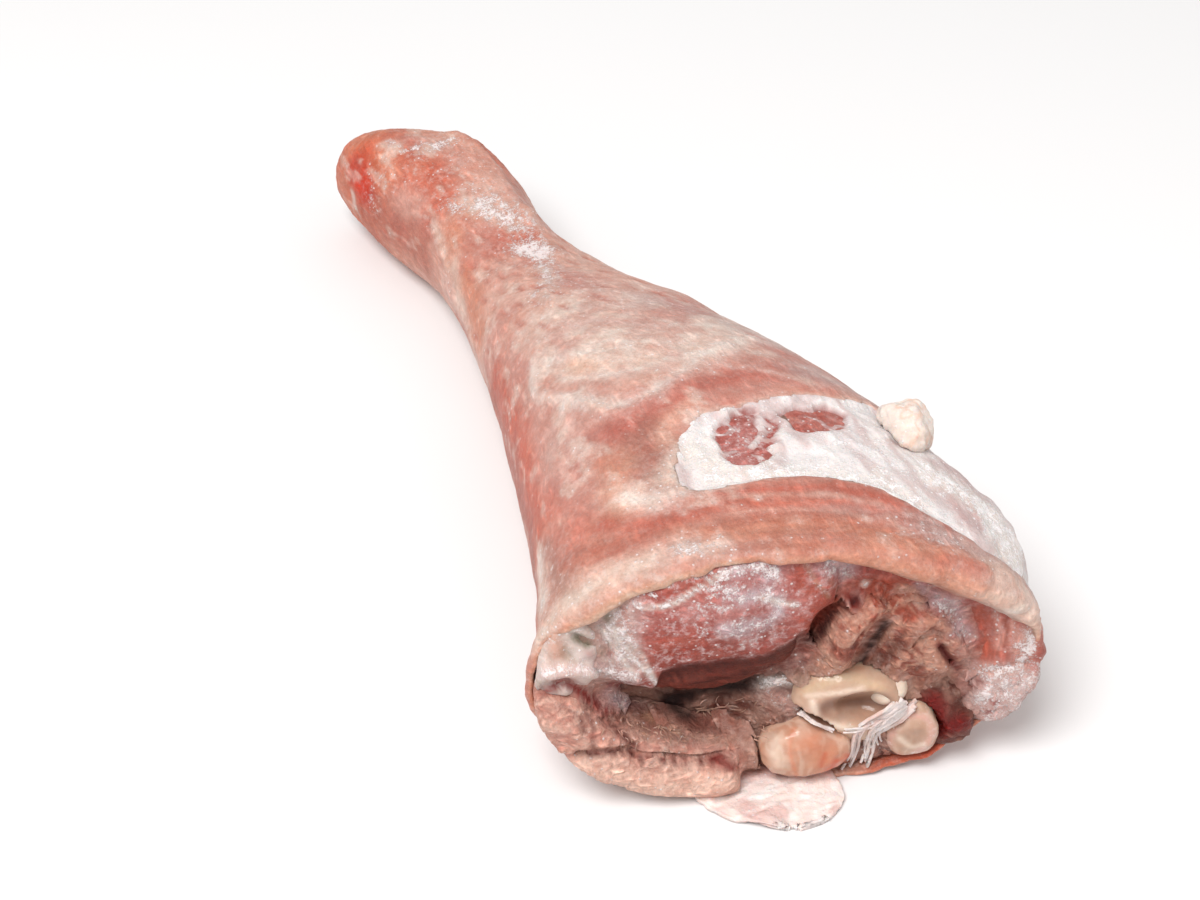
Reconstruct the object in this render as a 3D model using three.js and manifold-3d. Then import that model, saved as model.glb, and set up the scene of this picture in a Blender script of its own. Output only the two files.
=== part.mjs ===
// A raw turkey leg, lying on its side: skin with a torn window, lean muscles, shin bone and cartilage.
// Millimetres, +Z up. The knee cut faces +X, the ankle end faces -X.
import * as THREE from 'three';
import Module from 'manifold-3d';

const wasm = await Module();
wasm.setup();

// The leg's form: stations from the knee cut to the ankle end.
const stations = [
  { x: 109, y: -0.7, halfWidth: 46.0, halfHeight: 28.6, lift: 0 },
  { x: 86, y: 8.4, halfWidth: 45.2, halfHeight: 29.4, lift: 0 },
  { x: 47, y: 9.5, halfWidth: 36.0, halfHeight: 28.0, lift: 0 },
  { x: 4, y: 11.5, halfWidth: 27.5, halfHeight: 22.0, lift: 0 },
  { x: -32, y: 9.5, halfWidth: 19.0, halfHeight: 16.2, lift: 1 },
  { x: -59, y: 7.0, halfWidth: 15.0, halfHeight: 14.8, lift: 2 },
  { x: -82, y: 5.5, halfWidth: 18.0, halfHeight: 16.0, lift: 0 },
  { x: -99, y: 3.5, halfWidth: 18.4, halfHeight: 16.0, lift: 0 },
  { x: -109, y: -0.5, halfWidth: 14.5, halfHeight: 12.6, lift: 3 },
];
const cutSlant = THREE.MathUtils.degToRad(18); // the knee cut is oblique in plan
const sectionPower = 0.85; // below 1 makes a section fuller than an ellipse
const sink = 0.5; // how far the underside is pressed flat where it rests
const gap = 0.3; // clearance between neighbouring pieces

const skin = {
  thickness: 2.4,
  rimExtra: 1.6, // the rim is thicker along the top right of the knee cut
  rimAngle: 52,
  rimSpread: 34,
  rimLength: 0.07,
  around: 32,
  along: 20,
  alongInside: 12,
};
const tendon = { from: 0.5, to: 0.9, angle: 74, spread: 15, height: 1.3 };
const flap = { across: -1, halfWidth: 14.5, reach: 13, root: -7, thickness: 2.2, wave: 0.9 };
const degree = THREE.MathUtils.degToRad(1);

// Torn window in the skin, and the hole in the white fascia behind it: [t, degrees round the leg].
const windowTear = {
  centre: [0.145, 62],
  edge: [
    [0.098, 110], [0.144, 110], [0.172, 103], [0.19, 90], [0.198, 70], [0.202, 48],
    [0.185, 24], [0.14, 6], [0.08, 0], [0.035, 12], [0.024, 32], [0.043, 54], [0.086, 74], [0.104, 92],
  ],
};
const fasciaHole = {
  centre: [0.155, 93],
  edge: [[0.134, 101], [0.16, 101], [0.183, 92], [0.182, 83], [0.152, 86], [0.126, 93]],
};
const fascia = { top: 0.9, bottom: 2.2, shrink: 0.965 };
const fatLump = { t: 0.172, angle: 52, inset: -1.2, size: [9, 6.2, 6.6], lobes: 3, lobeDepth: 0.16 };

// Pieces that show at the knee cut. Outlines are [across, height] in mm on the cut, faces in mm past it.
const calf = {
  outline: [[-33, 30], [-34, 42], [-27, 54], [-10, 60], [5, 58], [9, 50], [6.5, 38], [0, 29], [-18, 22.5]],
  face: -2,
  round: 5,
  end: 0.66,
};
const outer = {
  outline: [[11, 60], [9.5, 48], [15, 45], [25, 43.5], [34, 36], [36.5, 25], [33.5, 11], [42, 8], [52, 28], [40, 50]],
  face: -5,
  round: 5,
  end: 0.6,
};
const foldA = {
  outline: [[6.5, 30], [8, 41], [13, 44], [16.5, 41], [15, 33], [11, 26]],
  face: 0.5,
  round: 3.5,
  end: 0.42,
};
const foldB = {
  outline: [[17, 30], [18, 40], [25, 42], [33, 35], [34.5, 27], [28, 21.5], [20, 23]],
  face: -0.5,
  round: 6,
  end: 0.42,
};
const under = {
  outline: [[-50, 6], [-44, 27], [-37, 24], [-30, 17.5], [-20, 14.5], [-10, 12], [-8, 4], [-20, -4], [-38, -4]],
  face: 2.5,
  round: 6,
  end: 0.6,
  crease: { height: 10.5, depth: 2.2, spread: 1.8 },
};
const side = {
  outline: [[-52, 30], [-48, 45], [-36, 56], [-35, 43], [-34.5, 30], [-38, 26]],
  face: -2,
  round: 3,
  end: 0.55,
};
const deep = { face: -9, end: 0.62 }; // the tissue round the bone, which shows at the back of the hollows
const shin = {
  // t along the leg, place on the section in mm from its centre, half sizes of the bone
  path: [
    { t: 0.012, across: 11.5, up: -11.5, halfWidth: 10.5, halfHeight: 8.8 },
    { t: 0.06, across: 10, up: -12, halfWidth: 11, halfHeight: 9.2 },
    { t: 0.16, across: 4, up: -9, halfWidth: 8.5, halfHeight: 8 },
    { t: 0.32, across: 0, up: -4, halfWidth: 7.2, halfHeight: 6.8 },
    { t: 0.5, across: -1, up: -1, halfWidth: 6.8, halfHeight: 6.4 },
    { t: 0.66, across: 0, up: 0, halfWidth: 7.6, halfHeight: 7.4 },
  ],
  heelFrom: 0.7,
  ankleEnd: 0.985,
  dish: { across: 12, height: 19, halfWidth: 6.6, halfHeight: 4.6, depth: 3.2 },
};
const ball = { across: 4.2, height: 10.6, out: -3.5, size: [7.4, 8.6, 7.6] };
const fibula = {
  path: [
    { t: 0.012, across: 23.6, up: -18.6, halfWidth: 5, halfHeight: 6.2 },
    { t: 0.06, across: 21, up: -17.2, halfWidth: 4.2, halfHeight: 5 },
    { t: 0.2, across: 15, up: -12, halfWidth: 2.4, halfHeight: 2.4 },
    { t: 0.36, across: 9.5, up: -6, halfWidth: 1.3, halfHeight: 1.3 },
  ],
};
const nub = { across: 22.8, height: 19.6, out: -5, size: [4.2, 3.4, 3] };

// ---- places on the leg ----

const route = new THREE.CatmullRomCurve3(
  stations.map((s) => new THREE.Vector3(s.x, s.y, s.lift)), false, 'catmullrom', 0.5);
const girth = new THREE.CatmullRomCurve3(
  stations.map((s) => new THREE.Vector3(s.halfWidth, s.halfHeight, 0)), false, 'catmullrom', 0.5);

// A point on the section at t: across and up in mm from the section's centre, out in mm past it.
function place(t, across, up, out = 0) {
  const centre = route.getPoint(t);
  const height = centre.z + girth.getPoint(t).y;
  return new THREE.Vector3(
    centre.x + across * Math.sin(cutSlant) + out,
    centre.y + across * Math.cos(cutSlant),
    height + up,
  );
}

function full(value) {
  return Math.sign(value) * Math.abs(value) ** sectionPower;
}

// 1 at the middle of a hump, easing to 0 away from it.
function hump(distance, spread) {
  return Math.exp(-((distance / spread) ** 2));
}

function ridge(t, angle) {
  const along = THREE.MathUtils.smoothstep(t, tendon.from, tendon.from + 0.1)
    * (1 - THREE.MathUtils.smoothstep(t, tendon.to - 0.1, tendon.to));
  return tendon.height * along * hump(angle / degree - tendon.angle, tendon.spread);
}

// A point on the leg's surface, or inset below it.
function surface(t, angle, inset = 0, out = 0) {
  const size = girth.getPoint(t);
  const proud = ridge(t, angle) - inset;
  const point = place(t, (size.x + proud) * full(Math.cos(angle)), (size.y + proud) * full(Math.sin(angle)), out);
  point.z = Math.max(point.z - sink, inset);
  return point;
}

function skinThickness(t, angle) {
  const rim = hump(angle / degree - skin.rimAngle, skin.rimSpread) * hump(t, skin.rimLength);
  return skin.thickness + skin.rimExtra * rim;
}

// ---- solids ----

function makeSolid(points, triangles) {
  const mesh = new wasm.Mesh({
    numProp: 3,
    vertProperties: new Float32Array(points.flatMap((p) => [p.x, p.y, p.z])),
    triVerts: new Uint32Array(triangles.flat()),
  });
  return new wasm.Manifold(mesh);
}

function stitch(triangles, first, second, count) {
  for (let i = 0; i < count; i += 1) {
    const next = (i + 1) % count;
    triangles.push([first + i, first + next, second + next], [first + i, second + next, second + i]);
  }
}

// A closed solid from rings of points. Its two ends are closed by a fan, or by the faces given.
function loft(rings, endFaces = null) {
  const count = rings[0].length;
  const points = rings.flat();
  const triangles = [];
  for (let ring = 0; ring + 1 < rings.length; ring += 1) {
    stitch(triangles, ring * count, (ring + 1) * count, count);
  }
  [0, rings.length - 1].forEach((ring) => {
    if (endFaces) {
      const lifted = endFaces.map((face) => face.map((i) => i + ring * count));
      triangles.push(...(ring === 0 ? lifted.map(([a, b, c]) => [a, c, b]) : lifted));
      return;
    }
    const centre = points.length;
    points.push(rings[ring].reduce((sum, p) => sum.add(p), new THREE.Vector3()).divideScalar(count));
    for (let i = 0; i < count; i += 1) {
      const a = ring * count + i;
      const b = ring * count + ((i + 1) % count);
      triangles.push(ring === 0 ? [centre, b, a] : [centre, a, b]);
    }
  });
  const solid = makeSolid(points, triangles);
  return solid.volume() < 0 ? makeSolid(points, triangles.map(([a, b, c]) => [a, c, b])) : solid;
}

function steps(from, to, count) {
  return Array.from({ length: count }, (_, i) => THREE.MathUtils.lerp(from, to, i / (count - 1)));
}

function turn(count) {
  return Array.from({ length: count }, (_, i) => (2 * Math.PI * i) / count);
}

// Everything within the skin, kept clear of it: what the muscles and bone may fill.
function makeCore(clearance) {
  const inside = (t, out) => turn(skin.around).map((a) => surface(t, a, skinThickness(t, a) + clearance, out));
  return loft([inside(0, 20), ...steps(0, 1, skin.alongInside).map((t) => inside(t, 0)), inside(1, -20)]);
}

function smoothOutline(points, count) {
  const curve = new THREE.CatmullRomCurve3(points.map(([x, y]) => new THREE.Vector3(x, y, 0)), true);
  return curve.getSpacedPoints(count).slice(0, count);
}

// An anticlockwise outline moved outwards, or inwards by a negative distance.
function offsetOutline(outline, distance) {
  return outline.map((p, i) => {
    const before = outline[(i + outline.length - 1) % outline.length];
    const after = outline[(i + 1) % outline.length];
    const along = after.clone().sub(before).normalize();
    return new THREE.Vector3(p.x + along.y * distance, p.y - along.x * distance, 0);
  });
}

// A muscle: its outline on the cut, shrunk with the leg's section back to where it ends, with a
// rounded face. With grow, it is fattened and run out past the cut, to cut its neighbours clear.
function makeMuscle(muscle, grow = 0) {
  const sides = 20;
  const smooth = smoothOutline(muscle.outline, sides);
  const outline = THREE.ShapeUtils.area(smooth) < 0 ? smooth.reverse() : smooth;
  const start = girth.getPoint(0);
  const ring = (t, distance, out) => {
    const size = girth.getPoint(t);
    return offsetOutline(outline, distance).map((p) => {
      const crease = muscle.crease && t === 0
        ? muscle.crease.depth * hump(p.y - muscle.crease.height, muscle.crease.spread)
        : 0;
      return place(t, (p.x * size.x) / start.x, ((p.y - start.y) * size.y) / start.y, out - crease);
    });
  };
  const rounding = [70, 40, 15, 0].map((angle) => angle * degree).map((angle) => (
    ring(0, muscle.round * (Math.cos(angle) - 1), muscle.face + muscle.round * (Math.sin(angle) - 1))
  ));
  const face = grow > 0
    ? [ring(0, grow, muscle.face + 25), ring(0, grow, muscle.face - muscle.round)]
    : rounding;
  // A fattened muscle keeps its clearance where the leg is thin.
  const spare = (t) => (grow * start.y) / girth.getPoint(t).y;
  const body = steps(0.1, muscle.end, 5).map((t) => ring(t, spare(t), 0));
  const cap = THREE.ShapeUtils.triangulateShape(outline, []);
  return loft([...face, ...body], cap);
}

// A bone along the leg, from a path of places and half sizes.
function makeBone(path, grow = 0, sides = 14, rings = 10) {
  const at = (key) => new THREE.CatmullRomCurve3(path.map((p) => new THREE.Vector3(p.t, p[key], 0)));
  const [across, up, halfWidth, halfHeight] = ['across', 'up', 'halfWidth', 'halfHeight'].map(at);
  const ring = (s, scale, out) => turn(sides).map((a) => place(
    across.getPoint(s).x,
    across.getPoint(s).y + (halfWidth.getPoint(s).y + grow) * scale * Math.cos(a),
    up.getPoint(s).y + (halfHeight.getPoint(s).y + grow) * scale * Math.sin(a),
    out,
  ));
  const face = grow > 0 ? [ring(0, 1, 25)] : [ring(0, 0.45, 3.2), ring(0, 0.85, 2)];
  return loft([...face, ...steps(0, 1, rings).map((s) => ring(s, 1, 0)), ring(1, 0.5, -2)]);
}

// A lump of cartilage or fat, with shallow lobes if asked.
function makeLump(centre, size, sides = 16, lobes = 0, lobeDepth = 0) {
  const ring = (polar) => turn(sides).map((a) => {
    const swell = 1 + lobeDepth * Math.sin(lobes * a + 2 * polar) * Math.sin(polar);
    return centre.clone().add(new THREE.Vector3(
      size[0] * Math.sin(polar) * Math.cos(a) * swell,
      size[1] * Math.sin(polar) * Math.sin(a) * swell,
      size[2] * Math.cos(polar) * swell,
    ));
  });
  return loft(steps(0.22, Math.PI - 0.22, 8).map(ring));
}

function grown(size, grow) {
  return size.map((half) => half + grow);
}

// A patch of the leg's wall between two depths, inside an outline given in [t, degrees].
function makePatch(shape, scale, top, bottom) {
  const sides = 32;
  const outline = smoothOutline(shape.edge.map(([t, angle]) => [t * 700, angle]), sides);
  const [middleT, middleAngle] = shape.centre;
  const ring = (share, inset) => outline.map((p) => surface(
    THREE.MathUtils.lerp(middleT, p.x / 700, share),
    THREE.MathUtils.lerp(middleAngle, p.y, share) * degree,
    inset,
  ));
  const shares = [0.25, 0.5, 0.75, 1].map((share) => share * scale);
  return loft([...shares.map((share) => ring(share, top)), ...shares.reverse().map((share) => ring(share, bottom))]);
}

// ---- the pieces ----

// The tongue of skin that lies on the floor in front of the cut.
function makeFlap() {
  const rings = steps(0, 1, 8).map((s) => {
    const out = THREE.MathUtils.lerp(flap.root, flap.reach, s);
    const narrow = Math.sqrt(Math.max(1 - Math.max(s - 0.35, 0) ** 2 / 0.43, 0.02));
    const across = steps(-1, 1, 7).map((v) => flap.across + flap.halfWidth * v * narrow);
    const wave = (w) => flap.wave * s * (1 + Math.sin(w * 0.33 + 5 * s));
    const height = (w) => wave(w) + flap.thickness * (1 - 0.55 * s);
    const at = (w, z) => {
      const p = place(0, w, 0, out);
      p.z = z;
      return p;
    };
    const foot = (w) => (s < 0.6 ? 0 : wave(w) * (s - 0.6));
    return [...across.map((w) => at(w, foot(w))), ...across.reverse().map((w) => at(w, height(w)))];
  });
  return loft(rings);
}

function makeSkin() {
  const outside = (t) => turn(skin.around).map((a) => surface(t, a));
  const whole = loft(steps(0, 1, skin.along).map((t) => outside(t)));
  return whole.add(makeFlap()).subtract(makeCore(0)).subtract(makePatch(windowTear, 1, -4, 6));
}

function makeFascia() {
  return makePatch(windowTear, fascia.shrink, fascia.top, fascia.bottom)
    .subtract(makePatch(fasciaHole, 1, -3, 5))
    .subtract(makeCore(0));
}

// The shin bone's shaft and knee head, and its heel that fills the skin at the ankle.
function makeShaft(grow = 0) {
  return makeBone(shin.path, grow);
}

function makeHeel(grow = 0) {
  const knuckle = (t, share) => turn(skin.around).map((a) => (
    place(t, 0, 0).lerp(surface(t, a, skinThickness(t, a) + gap - grow), share)
  ));
  const stops = steps(0, 1, skin.alongInside).filter((t) => t > shin.heelFrom && t < shin.ankleEnd);
  return loft([
    knuckle(shin.heelFrom - 0.1, 0.5),
    knuckle(shin.heelFrom - 0.02, 0.75),
    ...stops.map((t) => knuckle(t, 1)),
    knuckle(shin.ankleEnd, 1),
  ]);
}

// All that is left within the skin behind a plane parallel to the knee cut.
function makeDeep(core, taken) {
  const facing = new THREE.Vector3(Math.cos(cutSlant), -Math.sin(cutSlant), 0);
  const front = route.getPoint(0).dot(facing) + deep.face;
  const back = route.getPoint(deep.end).dot(facing);
  const rest = core.subtract(taken)
    .trimByPlane(facing.clone().negate().toArray(), -front)
    .trimByPlane(facing.toArray(), back);
  return rest.decompose().sort((a, b) => b.volume() - a.volume())[0];
}

function ballAt(lump, grow = 0) {
  const centre = place(0, lump.across, lump.height - girth.getPoint(0).y, lump.out);
  return makeLump(centre, grown(lump.size, grow));
}

function makeDish() {
  const { across, height, halfWidth, halfHeight, depth } = shin.dish;
  const centre = place(shin.path[0].t, across, height - girth.getPoint(0).y, depth + 2.2);
  return makeLump(centre, [depth * 1.6, halfWidth, halfHeight]);
}

function makeFatLump() {
  const centre = surface(fatLump.t, fatLump.angle * degree, fatLump.inset);
  const lump = makeLump(centre, fatLump.size, 16, fatLump.lobes, fatLump.lobeDepth);
  const below = loft(steps(0, 1, 40).map((t) => turn(skin.around).map((a) => surface(t, a, fascia.top - gap))));
  return lump.subtract(below);
}

// ---- materials and nodes ----

function material(color, roughness) {
  return new THREE.MeshStandardMaterial({ color, roughness, metalness: 0 });
}

const finishes = {
  skin: material('#d99b82', 0.5),
  fascia: material('#d9c3bd', 0.6),
  fat: material('#efe3d6', 0.6),
  meat: material('#a8524a', 0.5),
  dryMeat: material('#9b6a58', 0.65),
  bone: material('#c08a78', 0.7),
  cartilage: material('#dcc8b0', 0.35),
};

const group = new THREE.Group();

function addNode(name, solid, finish) {
  const { vertProperties, triVerts, numProp } = solid.getMesh();
  if (numProp !== 3) throw new Error(`${name} has unexpected vertex data`);
  const geometry = new THREE.BufferGeometry();
  geometry.setAttribute('position', new THREE.BufferAttribute(vertProperties, 3));
  geometry.setIndex(new THREE.BufferAttribute(triVerts, 1));
  const mesh = new THREE.Mesh(geometry, finish);
  mesh.name = name;
  group.add(mesh);
}

const core = makeCore(gap);
const hardParts = [makeShaft(gap), makeHeel(gap), makeBone(fibula.path, gap), ballAt(ball, gap), ballAt(nub, gap)];
const muscles = [
  ['calf_muscle', calf, finishes.meat],
  ['fold_muscle_inner', foldA, finishes.dryMeat],
  ['fold_muscle_outer', foldB, finishes.dryMeat],
  ['outer_muscle', outer, finishes.meat],
  ['under_muscle', under, finishes.dryMeat],
  ['side_fat', side, finishes.fat],
];

addNode('skin', makeSkin(), finishes.skin);
addNode('fascia', makeFascia(), finishes.fascia);
addNode('fat_lump', makeFatLump(), finishes.fat);

let taken = hardParts.reduce((sum, part) => sum.add(part));
muscles.forEach(([name, muscle, finish]) => {
  addNode(name, makeMuscle(muscle).intersect(core).subtract(taken), finish);
  taken = taken.add(makeMuscle(muscle, gap));
});

addNode('deep_muscle', makeDeep(core, taken), finishes.dryMeat);
addNode('shin_bone', makeShaft().intersect(core).subtract(ballAt(ball, gap)).subtract(ballAt(nub, gap))
  .subtract(makeDish()).add(makeHeel()), finishes.bone);
addNode('fibula', makeBone(fibula.path).intersect(core).subtract(makeShaft(gap)).subtract(ballAt(nub, gap)),
  finishes.bone);
addNode('knee_cartilage', ballAt(ball).intersect(core), finishes.cartilage);
addNode('small_cartilage', ballAt(nub).intersect(core), finishes.cartilage);

// Centre the leg over the origin.
const box = new THREE.Box3().setFromObject(group);
const centre = box.getCenter(new THREE.Vector3());
group.position.set(-centre.x, -centre.y, -box.min.z);

export default group;
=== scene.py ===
import math
from contextlib import contextmanager

import bmesh
import bpy
import numpy as np
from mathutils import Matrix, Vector


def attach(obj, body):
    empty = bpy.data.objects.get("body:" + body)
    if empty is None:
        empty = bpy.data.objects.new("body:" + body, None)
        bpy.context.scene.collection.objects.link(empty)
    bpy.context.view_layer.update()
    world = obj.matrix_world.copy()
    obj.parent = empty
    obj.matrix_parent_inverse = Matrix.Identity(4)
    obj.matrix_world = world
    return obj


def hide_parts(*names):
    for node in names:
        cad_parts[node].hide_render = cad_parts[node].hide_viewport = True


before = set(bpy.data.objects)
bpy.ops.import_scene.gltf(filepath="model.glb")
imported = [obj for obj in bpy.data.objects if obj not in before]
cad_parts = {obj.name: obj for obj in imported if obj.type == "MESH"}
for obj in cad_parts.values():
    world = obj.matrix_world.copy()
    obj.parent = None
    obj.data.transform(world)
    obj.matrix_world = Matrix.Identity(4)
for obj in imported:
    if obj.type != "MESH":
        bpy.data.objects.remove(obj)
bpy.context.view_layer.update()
print("frame loaded:", len(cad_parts), "nodes")

# The leg's form, as the part's source has it. Its stations run from knee to ankle, in mm: x, y,
# half width, half height and lift.
leg = {
    "stations": [
        (109, -0.7, 46.0, 28.6, 0), (86, 8.4, 45.2, 29.4, 0), (47, 9.5, 36.0, 28.0, 0),
        (4, 11.5, 27.5, 22.0, 0), (-32, 9.5, 19.0, 16.2, 1), (-59, 7.0, 15.0, 14.8, 2),
        (-82, 5.5, 18.0, 16.0, 0), (-99, 3.5, 18.4, 16.0, 0), (-109, -0.5, 14.5, 12.6, 3),
    ],
    "shift": (-4.867, -3.259, 0.0),  # from the source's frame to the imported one
    "slant": math.radians(18),
    "power": 0.85,
    "sink": 0.5,
    "tendon": {"start": 0.5, "end": 0.9, "fade": 0.1, "angle": 74, "spread": 15, "height": 1.3},
    "wall": 2.4,
}
mm = 0.001
shift = np.array(leg["shift"])
stations = np.array(leg["stations"])
routes, halfSizes = stations[:, :2], stations[:, 2:4]
middles = stations[:, 3:4] + stations[:, 4:5]  # how high the middle of each section is
cutOrigin = np.array([*routes[0], 0.0]) + shift
slantSin, slantCos = math.sin(leg["slant"]), math.cos(leg["slant"])

camera = {
    "azimuth": math.radians(66.65), "elevation": math.radians(37.06), "distance": 0.50065,
    "aim": (-0.00226, 0.00473, 0.002), "focalPixels": 2245.9, "imageWidth": 1200,
}
flatShare = math.cos(camera["elevation"])
back = np.array([math.sin(camera["azimuth"]) * flatShare, -math.cos(camera["azimuth"]) * flatShare,
                 math.sin(camera["elevation"])])
eyePoint = (np.array(camera["aim"]) + back * camera["distance"]) / mm


# ---- noise and distances, on points in mm ----

cells = np.random.default_rng(11).random((64, 64, 64))
seedStep, octaveStep = 13.37, 5.71  # how far apart the noise of each seed and octave is taken


def smooth(value, low, high):
    share = np.clip((value - low) / (high - low), 0, 1)
    return share * share * (3 - 2 * share)


def hump(distance, spread):
    return np.exp(-((distance / spread) ** 2))


# Smooth noise from 0 to 1, with features of the given size in mm.
def noise(points, size, seed=0, octaves=1, stretch=(1, 1, 1)):
    total, weight = np.zeros(len(points)), 0.0
    for octave in range(octaves):
        place = points / (np.array(stretch) * size / 2**octave)
        place = place + seed * seedStep + octave * octaveStep
        low = np.floor(place).astype(int)
        share = smooth(place - low, 0, 1)
        layer = np.zeros(len(points))
        for corner in range(8):
            step = np.array([corner & 1, corner >> 1 & 1, corner >> 2 & 1])
            pick = (low + step) & 63
            near = np.where(step, share, 1 - share).prod(axis=1)
            layer += near * cells[pick[:, 0], pick[:, 1], pick[:, 2]]
        total += layer / 2**octave
        weight += 1 / 2**octave
    return total / weight


# Sharp-crested noise from 0 to 1, for fibres and wrinkles.
def ridged(points, size, seed=0, octaves=1, stretch=(1, 1, 1)):
    return 1 - np.abs(2 * noise(points, size, seed, octaves, stretch) - 1)


# Both again as relief about 0, of a height in mm: height, size, seed, octaves and stretch.
def bumps(points, height, *grain):
    return (noise(points, *grain) - 0.5) * height


def wrinkles(points, height, *grain):
    return (ridged(points, *grain) - 0.5) * height


# Points moved about, so that the creases taken from them wind.
def bend(points, size, seed, reach):
    return points + bumps(points, reach, size, seed, 2)[:, None]


# A smooth line through values, at shares from 0 to 1 along it.
def lineThrough(values, share):
    values = np.array(values, float)
    padded = np.vstack([2 * values[0] - values[1], values, 2 * values[-1] - values[-2]])
    last = len(values) - 1
    place = np.clip(share, 0, 1) * last
    low = np.minimum(place.astype(int), last - 1)
    w = (place - low)[:, None]
    before, start, end, after = (padded[low + i] for i in range(4))
    leave, arrive = (end - before) / 2, (after - start) / 2
    return (start + leave * w + (3 * (end - start) - 2 * leave - arrive) * w**2
            + (2 * (start - end) + leave + arrive) * w**3)


farOff = 1e6


def finer(path, perSpan=4):
    return lineThrough(path, np.linspace(0, 1, (len(path) - 1) * perSpan + 1))


# Distance to a path, or far off where it is more than the reach away.
def distanceTo(points, path, reach=np.inf):
    path = np.array(path, float)
    low, high = path.min(axis=0) - reach, path.max(axis=0) + reach
    close = np.flatnonzero(((points >= low) & (points <= high)).all(axis=1))
    found = np.full(len(points), farOff)
    if not len(close):
        return found
    near = points[close]
    best = np.linalg.norm(near - path[0], axis=1)
    for start, end in zip(path[:-1], path[1:]):
        along = end - start
        share = np.clip(((near - start) @ along) / max(along @ along, 1e-9), 0, 1)
        best = np.minimum(best, np.linalg.norm(near - start - share[:, None] * along, axis=1))
    found[close] = best
    return found


# Distance to a closed outline in the plane, negative inside it.
def insideOf(places, outline):
    path = np.vstack([outline, outline[:1]])
    edge = distanceTo(places, path)
    inside = np.zeros(len(places), bool)
    x, y = places.T
    for (x0, y0), (x1, y1) in zip(path[:-1], path[1:]):
        crosses = (y0 > y) != (y1 > y)
        at = x0 + (y - y0) * (x1 - x0) / (y1 - y0 if y1 != y0 else 1e-9)
        inside ^= crosses & (x < at)
    return np.where(inside, -edge, edge)


def closedLine(points, count):
    ring = np.vstack([points[-1:], points, points[:2]])
    spans = len(ring) - 1
    share = (1 + np.linspace(0, len(points), count, endpoint=False)) / spans
    return lineThrough(ring, share)


# ---- places on the leg ----

def place(t, across, up, out=0.0):
    route = lineThrough(np.hstack([routes, middles]), t)
    return np.stack([
        route[:, 0] + across * slantSin + out,
        route[:, 1] + across * slantCos,
        route[:, 2] + up,
    ], axis=1) + shift


def full(value):
    return np.sign(value) * np.abs(value) ** leg["power"]


# Points on the leg's surface at t from knee to ankle and an angle in degrees, or inset below it.
def surface(t, angle, inset=0.0, out=0.0):
    t, angle = np.broadcast_arrays(np.asarray(t, float), np.asarray(angle, float))
    size = lineThrough(halfSizes, t)
    tendon = leg["tendon"]
    start, end, fade = tendon["start"], tendon["end"], tendon["fade"]
    along = smooth(t, start, start + fade) * (1 - smooth(t, end - fade, end))
    ridge = tendon["height"] * along * hump(angleGap(angle, tendon["angle"]), tendon["spread"])
    size = size + (ridge - inset)[:, None]
    turn = np.radians(angle)
    points = place(t, size[:, 0] * full(np.cos(turn)), size[:, 1] * full(np.sin(turn)), out)
    points[:, 2] = np.maximum(points[:, 2] - leg["sink"], inset)
    return points


# A path in t and degrees as points on the skin.
def onSkin(path):
    return surface(*np.array(path, float).T)


# Nothing goes below the floor.
def keepUp(points, floor=0.0):
    points[:, 2] = np.maximum(points[:, 2], floor)
    return points


# Across the knee cut, height, and how far out of it, for points in mm.
def cutPlaces(points):
    across = (points[:, 1] - cutOrigin[1]) / slantCos
    out = points[:, 0] - cutOrigin[0] - across * slantSin
    return across, points[:, 2], out


# Where the eye sees points on the plane of the cut, across and up it.
def seenPlaces(points):
    across, height, out = cutPlaces(points)
    eye = [part[0] for part in cutPlaces(eyePoint[None])]
    slide = out / (eye[2] - out)
    across, height = across + (across - eye[0]) * slide, height + (height - eye[1]) * slide
    return np.stack([across, height], axis=1), out


# The point that far out of the cut which is seen at a place on it.
def unseen(where, out):
    eye = [part[0] for part in cutPlaces(eyePoint[None])]
    share = out / eye[2]
    across = where[:, 0] + (eye[0] - where[:, 0]) * share
    points = place(np.zeros_like(across), across, np.zeros_like(across), out)
    points[:, 2] = where[:, 1] + (eye[1] - where[:, 1]) * share
    return points


# t, across and up on the section, angle in degrees and share of the way out, for points in mm.
def legPlaces(points):
    flat = points - shift
    steps = np.linspace(0, 1, 200)
    route = lineThrough(routes, steps)
    t = np.full(len(points), 0.1)
    for _ in range(3):
        centreY = np.interp(t, steps, route[:, 1])
        across = (flat[:, 1] - centreY) / slantCos
        t = np.interp(-(flat[:, 0] - across * slantSin), -route[:, 0], steps)
    size = lineThrough(halfSizes, t)
    middle = lineThrough(middles, t)[:, 0]
    up = flat[:, 2] - middle
    x = np.sign(across) * np.abs(across / size[:, 0]) ** (1 / leg["power"])
    y = np.sign(up) * np.abs(up / size[:, 1]) ** (1 / leg["power"])
    return t, across, up, np.degrees(np.arctan2(y, x)), np.hypot(x, y)


def angleGap(angle, middle):
    return (np.asarray(angle, float) - middle + 180) % 360 - 180


# A curve round the leg from (degrees, value) pairs.
def roundLeg(angle, pairs):
    return np.interp(np.asarray(angle, float) % 360, *np.array(pairs, float).T, period=360)


# Moves the outer part of a muscle's front out to just under the skin's face.
def press(points, pairs, start=0.7, end=0.92):
    t, across, up, angle, share = legPlaces(points)
    # it fades out towards the middle of the leg and away from the cut
    amount = roundLeg(angle, pairs) * smooth(share, start, end) * smooth(t, 0.12, 0.03)
    length = np.maximum(np.hypot(across, up), 1)
    side = across / length * amount
    points[:, 0] += side * slantSin
    points[:, 1] += side * slantCos
    points[:, 2] += up / length * amount
    return keepUp(points)


# ---- painting ----

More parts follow.
